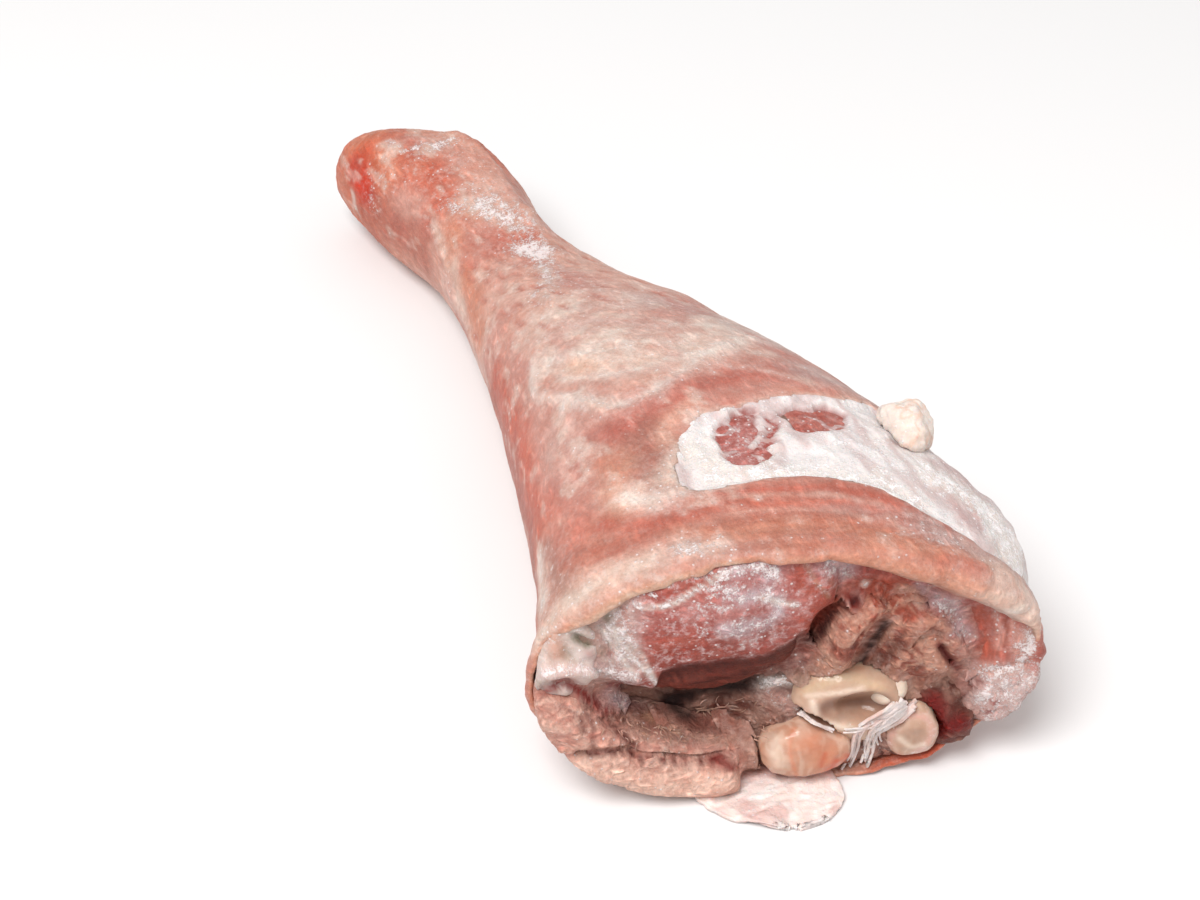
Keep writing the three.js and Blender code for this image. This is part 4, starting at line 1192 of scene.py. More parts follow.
# How the cut is painted, all pieces together.
kneeStrokes = [
    # calf
    ("calfPink", 6.0, 0.35, 0.6, [(-26, 41), (-16, 43), (-4, 43)]),
    ("brightRed", 3.2, 0.75, 0.6, [(-20, 49.7), (-17, 51)]),
    ("brightRed", 3.6, 0.8, 0.6, [(-23, 37), (-16, 38.6)]),
    ("calfLow", 2.6, 0.8, 0.6, [(-12, 38.4), (-8, 39.4), (-3, 40)]),
    ("brightRed", 3.4, 0.9, 0.35, [(1, 54), (2.6, 49), (5.2, 44.6), (3.4, 41)], 0.05),
    ("tan", 0.5, 0.7, 0.5, [(1.2, 54.2), (3.4, 49.6), (6, 45.6)], 0.3),
    ("tan", 0.5, 0.6, 0.5, [(3.4, 54.6), (5.2, 50.6), (7.6, 47)], 0.3),
    ("darkRed", 1.2, 0.9, 0.5, [(-30, 54.2), (-18, 55), (-9, 56), (0, 57)], 0.0),
    (None, 1.1, 0.9, 0.8, [(-27.8, 53.1), (-25.7, 51.6), (-23.9, 52.8), (-21.3, 52.6),
     (-16.4, 52.4), (-13, 53)], 0.62),
    ("white", 0.6, 1.0, 0.35, [(-27.7, 46), (-23.8, 45.7), (-20.9, 46.6), (-17.9, 49.1),
     (-15.2, 50.7), (-11.8, 53.2), (-8, 54)], 0.7),
    ("lilac", 2.2, 1.0, 0.5, [(-9.9, 53), (-6.9, 53.9), (-4.9, 52)], 0.66),
    (None, 1.6, 0.9, 0.7, [(-13, 49.4), (-10, 47.6)], 0.7),
    ("lilac", 1.9, 0.95, 0.6, [(-11.6, 47.5), (-8.2, 46.5), (-5.2, 47.4), (-2.6, 44), (-4.4, 41.1),
     (-9.3, 39.4), (-11.8, 39.6)], 0.58),
    ("white", 0.7, 0.95, 0.5, [(-6, 46.4), (0.1, 44.2)], 0.7),
    (None, 0.8, 0.8, 0.8, [(-15, 45.4), (-12, 44.4)], 0.66),
    (None, 0.7, 0.9, 0.6, [(-26, 49), (-24.6, 48.2)], 0.85),
    # between the calf and the rim
    ("lilac", 2.8, 0.95, 0.5, [(6, 52.6), (8.6, 51.4)], 0.6),
    ("rawRed", 2.2, 0.8, 0.5, [(12, 51.4), (18, 49.6), (24, 45.6)], 0.15),
    ("orangeMeat", 2.4, 0.9, 0.4, [(9.6, 48.1), (14, 48), (18.5, 46.9)], 0.0),
    ("blood", 1.6, 0.95, 0.4, [(10.9, 46.4), (10.3, 43.4)], 0.0, 1.0),
    # painted shade down the crevice beside the first fold
    ("crevice", 1.5, 0.95, 0.3, [(10.6, 44.4), (8.3, 42.6), (6.5, 40.9), (4.9, 36.8),
     (3.2, 35.7)], 0.0),
    ("white", 0.5, 1.0, 0.2, [(12, 48.4), (12.4, 48.2)], 0.95),
    # painted highlight along the top ridge
    ("foldTip", 1.0, 0.9, 0.4, "topRidge", 0.2),
    ("lilac", 1.9, 0.9, 0.6, [(25.2, 42.6), (28.5, 40.7), (30.3, 36.4), (32.7, 34.9)], 0.68),
    ("lilac", 1.0, 0.7, 0.7, [(22, 47), (28, 42.6)], 0.55),
    # folds
    # painted highlights on the folds' crests and edges
    ("foldTip", 1.7, 0.9, 0.5, [(6.2, 30.7), (7.8, 28.3), (10, 28.1)], 0.35),
    ("foldTip", 0.8, 0.7, 0.5, [(9.6, 41.6), (7.6, 39), (6.4, 34.6), (6, 31)]),
    # painted shade in the gap between the folds
    ("deepDark", 1.2, 0.95, 0.3, "foldGap", 0.0),
    # painted shade in the crease between the folds
    ("calfDark", 2.0, 0.7, 0.5, [(16.4, 29), (18.4, 32), (20.4, 34)]),
    ("orangeMeat", 1.4, 0.6, 0.5, [(22.4, 39.4), (25.4, 40.6), (28.4, 39)]),
    # painted highlights on the second fold's crests
    ("foldTip", 0.9, 0.8, 0.5, [(20.8, 35), (22.6, 37.6), (25, 38.6), (28.2, 36)], 0.2),
    ("foldTip", 1.8, 0.85, 0.6, [(23.6, 34.4), (26.2, 32.4), (26, 28.8), (28.6, 26.4)], 0.3),
    ("darkRed", 0.8, 1.0, 0.3, "foldEnd", 0.0),
    ("palePink", 1.2, 0.8, 0.5, [(31.5, 31.5), (33, 28), (33.8, 25.4)], 0.3),
    # right side
    ("orangeMeat", 2.0, 0.85, 0.4, [(33.6, 39.9), (35.2, 33.1), (35.6, 29.4)], 0.05),
    ("outerLow", 3.2, 0.7, 0.35, [(37.3, 38.9), (38.7, 34), (38.4, 30)], 0.1),
    ("striated", 0.6, 0.85, 0.5, [(39.6, 38), (40.6, 33), (40.6, 30)], 0.5),
    ("striated", 0.6, 0.85, 0.5, [(36.4, 40), (37.6, 35), (37.8, 31)], 0.5),
    ("palePink", 1.6, 0.95, 0.5, [(43, 35), (43.4, 30)], 0.7),
    ("palePink", 1.9, 0.95, 0.5, [(36, 25.9), (41.6, 25.4), (43.4, 30)], 0.72),
    ("paleFrost", 3.0, 0.95, 0.4, [(35.8, 19), (40.3, 20.8), (44.7, 22.5)], 0.6),
    ("paleFrost", 3.0, 0.95, 0.4, [(38.2, 13.9), (42.7, 15.3)], 0.58),
    # painted shade in the side crease
    ("crease", 0.8, 0.85, 0.4, "sideCrease", 0.0),
    ("rosy", 0.8, 0.8, 0.5, [(40, 12), (43, 13)]),
    ("blood", 0.5, 1.0, 0.3, [(38.6, 17), (39.2, 17.3)]),
    ("blood", 0.45, 1.0, 0.3, [(37.6, 14.8), (38, 15)]),
    ("rosy", 0.9, 0.8, 0.6, [(45.4, 25), (45.6, 30)]),
    ("foldGrey", 2.4, 0.85, 0.4, [(29, 21.4), (30.3, 17.5), (31.6, 13.6)], 0.1),
    ("blood", 1.4, 1.0, 0.5, "bloodPool", 0.0, 1.0),
    # fat beside the calf
    ("sideWhite", 3.0, 0.85, 0.5, [(-37, 51), (-34, 48.6), (-32, 43), (-31, 35)], 0.6),
    ("foldTip", 1.8, 0.85, 0.5, [(-43, 44), (-42, 36)], 0.35),
    ("greenGrey", 0.9, 0.95, 0.6, "upperPit", 0.0),
    ("greenGrey", 0.9, 0.95, 0.6, "lowerPit", 0.0),
    ("greenGrey", 0.8, 0.85, 0.6, "smallPit", 0.0),
    ("greenGrey", 0.7, 0.85, 0.6, [(-34, 45.4), (-33, 43.6)], 0.0),
    ("mauve", 0.8, 0.8, 0.5, [(-35.4, 49), (-34.2, 41.6), (-32.6, 35)]),
    ("mauve", 0.8, 0.8, 0.5, [(-36.4, 36), (-34, 32.8)]),
    ("white", 0.6, 0.9, 0.5, "outerVein", 0.6),
    ("white", 0.6, 0.9, 0.5, "longVein", 0.6),
    ("white", 0.5, 0.8, 0.5, "innerVein", 0.6),
    ("palePink", 0.5, 0.7, 0.5, [(-31, 47), (-29.2, 40), (-26.4, 33)], 0.5),
    ("paleFrost", 1.6, 0.95, 0.4, "fatFold", 0.72),
    # lobe
    ("blood", 1.2, 0.95, 0.5, "lobeSeam", 0.0),
    ("blood", 1.1, 0.9, 0.5, [(-32, 28), (-30, 27.8)]),
    ("lilac", 1.8, 0.8, 0.6, [(-32, 25), (-28, 22)], 0.6),
    # painted shade in the lobe's creases
    ("crease", 0.6, 0.9, 0.3, "rightCrease", 0.0),
    ("crease", 0.5, 0.7, 0.4, "lobeCrease"),
    ("crease", 0.5, 0.7, 0.4, "middleCrease"),
    ("lobeLow", 3.6, 0.95, 0.3, [(-37.1, 7), (-30.3, 4.8), (-24.1, 2.7), (-16.2, 1.4),
     (-10, 1.3)], 0.25),
    # painted shade in the long crease
    ("crease", 0.8, 1.0, 0.25, "longCrease", 0.0),
    ("lobeGrey", 0.45, 0.6, 0.5, "rollLine"),
    ("lobeGrey", 0.45, 0.6, 0.5, "lowRollLine"),
    # blood and pale tissue round the joint
    ("blood", 2.2, 1.0, 0.35, "bloodRun", 0.0, 1.0),
    ("blood", 1.8, 0.9, 0.5, [(-12.4, 7.4), (-9.6, 5)], 0.0, 0.8),
    ("deepPale", 1.2, 0.7, 0.6, [(-10.4, 12.4), (-7, 10.6), (-5, 8)], 0.2),
]
# The hollow over the lobe, only on the lobe's own muscle, with painted shade and pale fibres in it.
recessForms = [([(-31, 22.8), (-25.2, 18.7), (-17.9, 17.5), (-10.5, 15.6), (-4, 16.3)], 3.6, -6.5)]
recessStrokes = [
    ("deepBrown", 4.2, 0.95, 0.35, [(-30, 22), (-25.2, 18.9), (-17.9, 17.5), (-10.5, 15.8),
     (-4, 16.3)], 0.05),
    ("deepPale", 1.0, 0.7, 0.8, [(-29, 20), (-26, 15), (-20, 12.4)], 0.2),
    ("tan", 0.8, 0.7, 0.8, [(-26, 20), (-20, 15)], 0.1),
    ("deepPale", 0.7, 0.6, 0.8, [(-22, 19), (-16, 13)], 0.1),
    ("deepPale", 1.2, 0.7, 0.7, [(-15, 13), (-9, 11.4), (-6, 12.6)], 0.15),
    # painted shade in the dark notch
    ("deepDark", 1.6, 0.9, 0.5, "darkNotch", 0.0),
]


# Moves what faces the cut out or in along the cut's rolls and creases.
def shapeCut(points, forms=kneeForms, start=-17, end=-8):
    where, out = seenPlaces(points)
    rise = np.zeros(len(points))
    for path, width, amount in forms:
        rise += hump(distanceTo(where, finer(kneePath(path)), width * 2.5), width) * amount
    points[:, 0] += rise * smooth(out, start, end)
    return points


# Keeps a muscle under the skin's inner face behind the rim.
def tuck(points, inset=2.7):
    t, across, up, angle, share = legPlaces(points)
    size = lineThrough(halfSizes, t)
    limit = (1 - inset / size[:, 1]) ** (1 / leg["power"])
    behind = smooth(t, 0.004, 0.02)
    factor = 1 + (np.minimum(limit / np.maximum(share, 1e-6), 1) ** leg["power"] - 1) * behind
    points[:, 0] += across * (factor - 1) * slantSin
    points[:, 1] += across * (factor - 1) * slantCos
    points[:, 2] += up * (factor - 1)
    return keepUp(points)


# The foremost place over the cut and its colour, in cells across and up it.
class FrontMap:
    def __init__(self, low, high, step):
        self.low, self.step = np.array(low, float), step
        self.shape = tuple(np.ceil((np.array(high) - low) / step).astype(int))
        self.depth = np.full(self.shape, -99.0)
        self.tint = np.zeros(self.shape + (3,))

    def cell(self, across, height):
        spot = np.floor((np.stack([across, height], axis=1) - self.low) / self.step).astype(int)
        return tuple(np.clip(spot, 0, np.array(self.shape) - 1).T)

    def add(self, piece):
        points = pointsOf(piece.data)
        across, height, out = cutPlaces(points)
        near = out > -22
        cell = self.cell(across[near], height[near])
        np.maximum.at(self.depth, cell, out[near])
        front = self.depth[cell] - out[near] < 0.05
        flat = np.empty(len(points) * 4)
        piece.data.attributes["tint"].data.foreach_get("color", flat)
        chosen = tuple(part[front] for part in cell)
        self.tint[chosen] = flat.reshape(-1, 4)[near][front][:, :3]

    # the largest or smallest value within so many cells
    def spread(self, values, cells, pick):
        for axis in (0, 1):
            stack = [np.roll(values, step, axis) for step in range(-cells, cells + 1)]
            values = pick(np.stack(stack), axis=0)
        return values

    def blur(self, values, cells):
        steps = range(-cells, cells + 1)
        for axis in (0, 1):
            values = sum(np.roll(values, step, axis) for step in steps) / len(steps)
        return values

    def at(self, values, across, height):
        place = (np.stack([across, height], axis=1) - self.low) / self.step - 0.5
        place = np.clip(place, 0, np.array(self.shape) - 1.001)
        low = place.astype(int)
        u, v = (place - low).T
        if values.ndim == 3:
            u, v = u[:, None], v[:, None]
        i, j = low.T
        return ((values[i, j] * (1 - u) + values[i + 1, j] * u) * (1 - v)
                + (values[i, j + 1] * (1 - u) + values[i + 1, j + 1] * u) * v)


calfPiece = {
    "voxel": 0.6, "swell": 0.6,
    "press": [(0, 0.8), (60, 0.8), (88, 1.5), (120, 0.8), (180, 0.8), (300, 0.6)],
    "lowEdge": [  # where the lobe's front ends, across and up the cut
        (-40, 12), (-27, 22), (-25, 29), (-23.6, 32.6), (-21.1, 33.7), (-17, 34.8), (-9.7, 35.6),
        (-4.7, 36.4), (1, 40), (5, 43), (14, 48),
    ],
}


def makeCalf():
    piece, points, normals = softCopy("calfMuscle", "calf_muscle", calfPiece)
    where, out = seenPlaces(points)
    across, height = where.T
    front = smooth(out, -16, -5)
    below = np.maximum(np.interp(across, *np.array(calfPiece["lowEdge"], float).T) - height, 0)
    points[:, 0] -= np.minimum(below * 0.42, 5) * front
    points[:, 2] -= smooth(below, 1, 5) * 3.0 * front * smooth(across, -26, -18)
    points[:, 0] += (2.2 * hump(across + 13, 17) * hump(height - 43, 10) + 1.2) * front
    points = press(points, calfPiece["press"])
    rise = bumps(points, 1.4, 8, 81, 2) + bumps(points, 0.6, 2.6, 82, 3)
    rise += wrinkles(points, 0.4, 3.0, 83, 2, (1, 2.2, 1))
    rise -= smooth(below, 1, 3) * wrinkles(points, 0.7, 1.5, 84, 2, (1, 6, 1))
    points = shapeCut(points + normals * (rise * front)[:, None])
    setPoints(piece.data, tuck(points))
    coat = Coat(points, "calf", 0.26, 0.35)
    coat.shadeBy(1 + bumps(points, 0.7, 3.2, 87, 4))
    coat.patches(noise, (5, 85, 3), (0.42, 0.66), 0.75, "calfPink", 0.42)
    coat.wash(smooth(height, 43, 36) * 0.75 * front, "calfRed")
    coat.wash(smooth(across, -26.5, -31) * 0.85 * front, "sideWhite", 0.4)
    coat.patches(noise, (2.4, 86, 3), (0.56, 0.74), 0.6, "calfPink", 0.55)
    paintCut(coat, kneeStrokes)
    # the meat is dark under the low edge, with painted shade laid on it
    coat.wash(smooth(below, 0.4, 2.4) * front, "calfDark", 0.0)
    layers = ridged(points, 1.3, 84, 3, (1, 6, 1))
    coat.wash(smooth(layers, 0.55, 0.9) * smooth(below, 2, 4) * 0.5 * front, "calfLow")
    coat.wash(smooth(below, 8.2, 9.6) * front * 0.8, "tan", 0.1)
    return dress(piece, coat, finishes["meat"], "meat", "calf_muscle")


outerPiece = {
    "voxel": 0.62, "swell": 0.9,
    "press": [(0, 1.6), (20, 0.8), (80, 0.6), (180, 0.5), (330, 1.6)],
}


def makeOuter():
    piece, points, normals = softCopy("outerMuscle", "outer_muscle", outerPiece)
    across, height, out = cutPlaces(points)
    front = smooth(out, -18, -7)
    rise = bumps(points, 1.8, 6, 91, 2) + wrinkles(points, 1.0, 2.2, 92, 3, (1, 1, 3))
    points = points + normals * (rise * front)[:, None]
    points[:, 0] += (1.4 + 2.4 * smooth(across, 33, 42)) * front
    points = shapeCut(press(points, outerPiece["press"]))
    setPoints(piece.data, tuck(points))
    coat = Coat(points, "outerMeat", 0.26, 0.35)
    coat.patches(noise, (4, 94, 3), (0.5, 0.7), 0.5, "rawRed")
    coat.patches(noise, (3, 95, 3), (0.54, 0.72), 0.7, "striated", 0.45)
    coat.wash(smooth(height, 27, 22) * smooth(across, 33, 37) * 0.85, "paleFrost", 0.5)
    paintCut(coat, kneeStrokes)
    lines = ridged(points, 1.4, 93, 2, (1, 1, 6))
    coat.shadeBy(1 + (lines - 0.6) * 0.4 * smooth(height, 22, 28))
    return dress(piece, coat, finishes["thighMeat"], "meat", "outer_muscle")


foldPiece = {"voxel": 0.42, "swell": 0.7, "forward": -1.6}


def makeFold(name, node, seed):
    piece, points, normals = softCopy(name, node, foldPiece)
    across, height, out = cutPlaces(points)
    front = smooth(out, -16, -8)
    creases = ridged(bend(points, 4, seed + 5, 5), 1.9, seed + 1, 3, (1.2, 0.9, 1.9))
    rise = bumps(points, 1.2, 5, seed, 2) + (creases - 0.5) * 0.8
    points = points + normals * (rise * front)[:, None]
    points[:, 0] += foldPiece["forward"] * front
    points = shapeCut(points)
    setPoints(piece.data, points)
    coat = Coat(points, "fold", 0.14, 0.15)
    coat.wash(smooth(height, 36, 42) * 0.7, "orangeMeat")
    # painted shade in the hollows between the creases
    coat.wash(smooth(creases, 0.56, 0.3) * 0.6, "calfDark")
    # painted highlight on the creases' crests
    coat.wash(smooth(creases, 0.7, 0.92) * 0.8, "foldTip", 0.2)
    paintCut(coat, kneeStrokes)
    return dress(piece, coat, finishes["dryMeat"], "dry_meat", node)


underPiece = {
    "voxel": 0.6, "swell": 0.6,
    "press": [(170, 2.2), (200, 2.4), (260, 2.0), (300, 1.0), (90, 0.5)],
}


def makeUnder():
    piece, points, normals = softCopy("underMuscle", "under_muscle", underPiece)
    across, height, out = cutPlaces(points)
    front = smooth(out, -14, -5)
    rise = bumps(points, 1.8, 7, 101, 2)
    creases = ridged(bend(points, 5, 104, 5), 2.6, 102, 3, (1.2, 2.4, 0.8))
    rise += (creases - 0.5) * 1.0
    points = press(points + normals * (rise * front)[:, None], underPiece["press"])
    points = shapeCut(shapeCut(points, recessForms))
    setPoints(piece.data, points)
    coat = Coat(points, "lobe", 0.2, 0.15)
    coat.patches(noise, (5, 103, 2), (0.5, 0.75), 0.6, "lobeGrey")
    coat.wash(smooth(height, 9, 6) * smooth(across, -8, -14) * 0.8, "lobeLow")
    # painted shade in the creases
    coat.wash(smooth(creases, 0.5, 0.22) * 0.45, "crease")
    coat.wash(smooth(creases, 0.8, 0.97) * 0.5, "lobeLow")
    paintCut(coat, kneeStrokes + recessStrokes)
    return dress(piece, coat, finishes["dryMeat"], "dry_meat", "under_muscle")


sidePiece = {"voxel": 0.5, "swell": 0.9, "press": [(120, 1.4), (180, 2.0), (270, 1.0)]}


def makeSideFat():
    piece, points, normals = softCopy("sideFat", "side_fat", sidePiece)
    across, height, out = cutPlaces(points)
    front = smooth(out, -16, -6)
    veil = ridged(points, 2.0, 112, 3, (1, 0.8, 2.2))
    rise = bumps(points, 1.4, 5, 111, 2) + (veil - 0.5) * 1.0
    points = press(points + normals * (rise * front)[:, None], sidePiece["press"])
    points[:, 0] += 1.2 * front
    points = shapeCut(points)
    setPoints(piece.data, points)
    coat = Coat(points, "sideWhite", 0.36, 0.2)
    coat.wash(smooth(veil, 0.5, 0.25) * 0.6, "mauve", 0.2)
    coat.patches(noise, (3, 113, 2), (0.6, 0.8), 0.5, "greenGrey", 0.2)
    paintCut(coat, kneeStrokes)
    return dress(piece, coat, finishes["fat"], "fat", "side_fat")


deepPiece = {
    "voxel": 0.76, "swell": 0.8, "press": [(0, 1.8), (180, 1.8), (270, 1.4)],
    # tissue that comes forward round the bones: centre across and up, half sizes, mm
    "forward": [
        ((-16, 4), (13, 4), 4.4), ((-4, 7), (6, 6), 2.0), ((3, 17), (6, 7), 3.6),
        ((8, 8), (11, 11), 5.5), ((22, 10), (9, 9), 5.5), ((13.4, 12.6), (6.5, 4.5), -9.0),
        ((32, 12), (8, 9), 7.0),
    ],
    "strokes": [
        # the first four lines are painted shade in gaps and crevices
        ("deepDark", 2.2, 0.95, 0.5, [(-22, 23), (-14.8, 25.9), (-10.3, 25.8), (-4.8, 26),
         (0, 27)], 0.0),
        ("deepDark", 1.7, 0.9, 0.5, "darkNotch", 0.0),
        ("crevice", 2.6, 0.95, 0.3, [(12, 48), (9, 42), (5, 37), (2, 34)], 0.0),
        ("crevice", 1.8, 0.9, 0.3, [(16.6, 38.6), (15.3, 35.9), (13, 29)]),
        ("rosy", 2.4, 0.7, 0.6, [(-29, 20), (-26, 15), (-27, 12)], 0.15),
        ("deepPale", 2.0, 0.7, 0.6, [(-24, 14), (-16, 11.6), (-9, 11)], 0.2),
        ("deepPale", 1.8, 0.8, 0.5, [(-10.3, 11), (-7.2, 12), (-4.9, 14.6)], 0.3),
        ("palePink", 2.4, 0.9, 0.5, [(-3.5, 24.2), (-1.5, 21.5), (2.3, 18.7), (6.4, 14)], 0.5),
        ("white", 1.2, 1.0, 0.4, [(-4.5, 26.2), (-0.8, 26.4), (2.6, 27)], 0.9),
        ("palePink", 2.4, 0.85, 0.5, [(8, 12), (14, 12), (17, 10)], 0.5),
        ("tan", 2.0, 0.7, 0.5, [(17, 25), (19, 28)], 0.2),
        ("blood", 2.0, 0.95, 0.5, [(-10.6, 7.6), (-8, 4.4)], 0.0),
        ("blood", 2.0, 1.0, 0.4, "bloodPool", 0.0, 1.0),
        ("blood", 2.6, 1.0, 0.35, "bloodRun", 0.0, 1.0),
    ],
}


def makeDeep():
    piece, points, normals = softCopy("deepMuscle", "deep_muscle", deepPiece, 2)
    across, height, out = cutPlaces(points)
    front = smooth(out, -18, -10.5)
    fibres = ridged(bend(points, 5, 123, 6), 2.8, 121, 3, (1, 2.4, 0.9))
    rise = bumps(points, 2.6, 8, 122, 2) + (fibres - 0.5) * 2.0
    points = points + normals * (rise * front)[:, None]
    for (middle, level), (wide, tall), forward in deepPiece["forward"]:
        points[:, 0] += forward * front * hump(across - middle, wide) * hump(height - level, tall)
    points = press(points, deepPiece["press"])
    setPoints(piece.data, tuck(points))
    # dark brown with painted shade in it, as the deep muscle lies far back in the cut
    coat = Coat(points, "deepBrown", 0.12, 0.3)
    # painted shade between the fibres' crests
    coat.wash(smooth(fibres, 0.5, 0.2) * 0.75, "deepDark")
    coat.wash(smooth(fibres, 0.76, 0.95) * 0.7, "deepPale")
    paintCut(coat, deepPiece["strokes"], -30)
    # painted shade: darker the further back in the cut
    coat.shadeBy(1 - 0.4 * smooth(out, -6, -11))
    return dress(piece, coat, finishes["dryMeat"], "dry_meat", "deep_muscle")


kneeMap = FrontMap((-50, -1), (52, 62), 0.5)
for made in (makeCalf(), makeOuter(), makeFold("innerFold", "fold_muscle_inner", 95),
             makeFold("outerFold", "fold_muscle_outer", 97), makeUnder(), makeSideFat(), makeDeep(),
             bpy.data.objects["legSkin"]):
    kneeMap.add(made)


# ---- bones and cartilage ----

bonePiece = {
    "voxel": 0.5, "swell": 0.35,
    # the hollow of the joint as it is seen on the cut: middle, half sizes, depth
    "hollow": ((12.4, 18.0), (6.6, 3.8), 1.2),
    "strokes": [
        ("dish", 2.2, 0.95, 0.15, [(6.4, 17), (7.7, 19.4), (12.4, 19.8), (17, 19.4),
         (18, 17)], 0.0, 1.0),
        ("dishLow", 2.0, 0.85, 0.2, [(9, 16.6), (12.6, 16.8), (16, 16)], None, 1.0),
        ("crescent", 1.5, 0.9, 0.2, [(3.5, 23.6), (7.4, 25.5), (11, 26.3),
         (16.8, 22.9)], None, 0.8),
        ("boneWhite", 0.7, 0.9, 0.3, [(3.6, 22.2), (9.2, 22.4), (13.6, 23.2)], 0.1),
        ("boneWhite", 0.8, 0.95, 0.3, [(4.4, 20.5), (5.8, 16.4), (9.1, 14.3), (12.4, 12.7)], 0.15),
        ("orangeEdge", 0.6, 0.9, 0.5, [(8, 13.4), (6, 15)]),
        ("palePink", 1.4, 0.8, 0.4, [(2.4, 17.6), (3.6, 12.6)], 0.3),
        ("tan", 0.8, 0.6, 0.5, [(9.6, 27.6), (13, 28.2)]),
    ],
}


def makeShinBone():
    piece, points, normals = softCopy("shinBone", "shin_bone", bonePiece)
    across, height, out = cutPlaces(points)
    rise = bumps(points, 0.7, 4, 131, 2)
    # the ankle end is spongy bone
    ankle = smooth(points[:, 0], -100, -106)
    holes = smooth(noise(points, 2.0, 132, 2), 0.5, 0.66)
    rise = rise * (1 - ankle) - ankle * holes * 1.6
    points = points + normals * rise[:, None]
    keepUp(points)
    (middle, level), (wide, tall), depth = bonePiece["hollow"]
    where, out = seenPlaces(points)
    ring = np.hypot((where[:, 0] - middle) / wide, (where[:, 1] - level) / tall)
    front = smooth(out, -16, -8)
    points[:, 0] += front * (0.35 * hump(ring - 1.2, 0.25) - depth * smooth(ring, 1.15, 0.2))
    setPoints(piece.data, points)
    coat = Coat(points, "cartilage", 0.06, 0.6)
    coat.wash(ankle, "bonePink", 0.2, 0.0)
    coat.wash(ankle * holes, "marrow")
    paintCut(coat, bonePiece["strokes"], -20)
    return dress(piece, coat, finishes["cartilage"], "bone", "shin_bone")


ballPiece = {
    "voxel": 0.42, "swell": 0.6, "moved": (2.0, 0.4, 0), "top": 14.5, "flatten": 0.4,
    "strokes": [
        ("boneWhite", 1.5, 0.7, 0.15, [(-1.8, 12), (-1.8, 8.9), (-1, 5)], None, 0.9),
        ("orange", 0.5, 0.5, 0.3, [(1.4, 14), (1, 8), (2.6, 2)]),
        ("ballPeach", 3.0, 0.85, 0.4, [(5, 10), (8, 6), (9, 1)]),
        ("orangeRed", 0.9, 0.8, 0.5, [(10, 5), (8.6, 2), (6.4, -0.6)]),
        ("orangeRed", 0.9, 0.9, 0.5, [(12.2, 6), (11, 1.6), (9, -1)]),
        ("orangeEdge", 0.5, 0.6, 0.5, [(7.6, 7), (7.2, 4)]),
        ("orangeEdge", 1.0, 0.9, 0.4, [(1.4, -0.6), (5, -1.6), (9, -2)]),
    ],
}
fibulaPiece = {
    "voxel": 0.42, "swell": 0.4,
    "strokes": [
        ("dishLow", 2.6, 0.8, 0.3, [(21.5, 9), (24, 11), (25, 8)], None, 0.9),
        ("palePink", 0.9, 0.85, 0.4, [(19.4, 7.4), (20.2, 12.4), (23, 15.4), (26.8, 13.8),
         (27.4, 9.4), (24.4, 5)], 0.4),
        ("boneWhite", 0.7, 0.7, 0.4, [(21.6, 9.8), (23.8, 7.4), (26, 7.8)]),
        ("orangeEdge", 0.8, 0.8, 0.4, [(17.2, 12.4), (19, 15.4), (21.2, 17.4)], 0.1),
        ("orangeEdge", 1.2, 0.8, 0.4, [(17, 6), (22.8, 4)]),
    ],
}
nubPiece = {
    "voxel": 0.42, "swell": 0.6, "moved": (-0.6, -2.2, 0),
    "strokes": [("marrow", 0.8, 1.0, 0.3, [(18.7, 18), (20, 19)], 0.0)],
}


def makeCartilage(name, node, setup, shade, seed, slot="cartilage"):
    piece, points, normals = softCopy(name, node, setup)
    points += setup.get("moved", (0, 0, 0))
    if "top" in setup:  # pressed flatter, and less proud of the cut
        points[:, 2] *= setup["top"] / points[:, 2].max()
        points[:, 0] -= np.maximum(cutPlaces(points)[2], 0) * setup["flatten"]
    rise = bumps(points, 1.1, 3.6, seed, 2) + bumps(points, 0.3, 1.6, seed + 2, 2)
    points = keepUp(points + normals * rise[:, None])
    setPoints(piece.data, points)
    coat = Coat(points, shade, 0.05, 0.8)
    coat.patches(ridged, (2.4, seed + 1, 2, (1, 0.6, 2.5)), (0.7, 0.95), 0.35, "boneWhite")
    paintCut(coat, setup["strokes"], -20)
    return dress(piece, coat, finishes["cartilage"], slot, node)


for made in (makeShinBone(),
             makeCartilage("kneeCartilage", "knee_cartilage", ballPiece, "ball", 141),
             makeCartilage("smallCartilage", "small_cartilage", nubPiece, "boneWhite", 147),
             makeCartilage("fibulaHead", "fibula", fibulaPiece, "cartilage", 151, "bone")):
    kneeMap.add(made)


# ---- connective tissue between the pieces of the cut ----

tissuePiece = {
    "bridge": 4, "sunk": 1.6, "sheet": 0.8, "left": -45, "right": 47, "low": 1.5, "top": 60,
    "cell": 0.6, "gapShade": (0.95, 0.8, 0.76),
    # places left open: centre across and up, half sizes
    "open": [((12.5, 18), (10, 9)), ((7, 38.5), (4, 7)), ((-8, 18.5), (16, 5)), ((3, 8), (9, 9))],
}


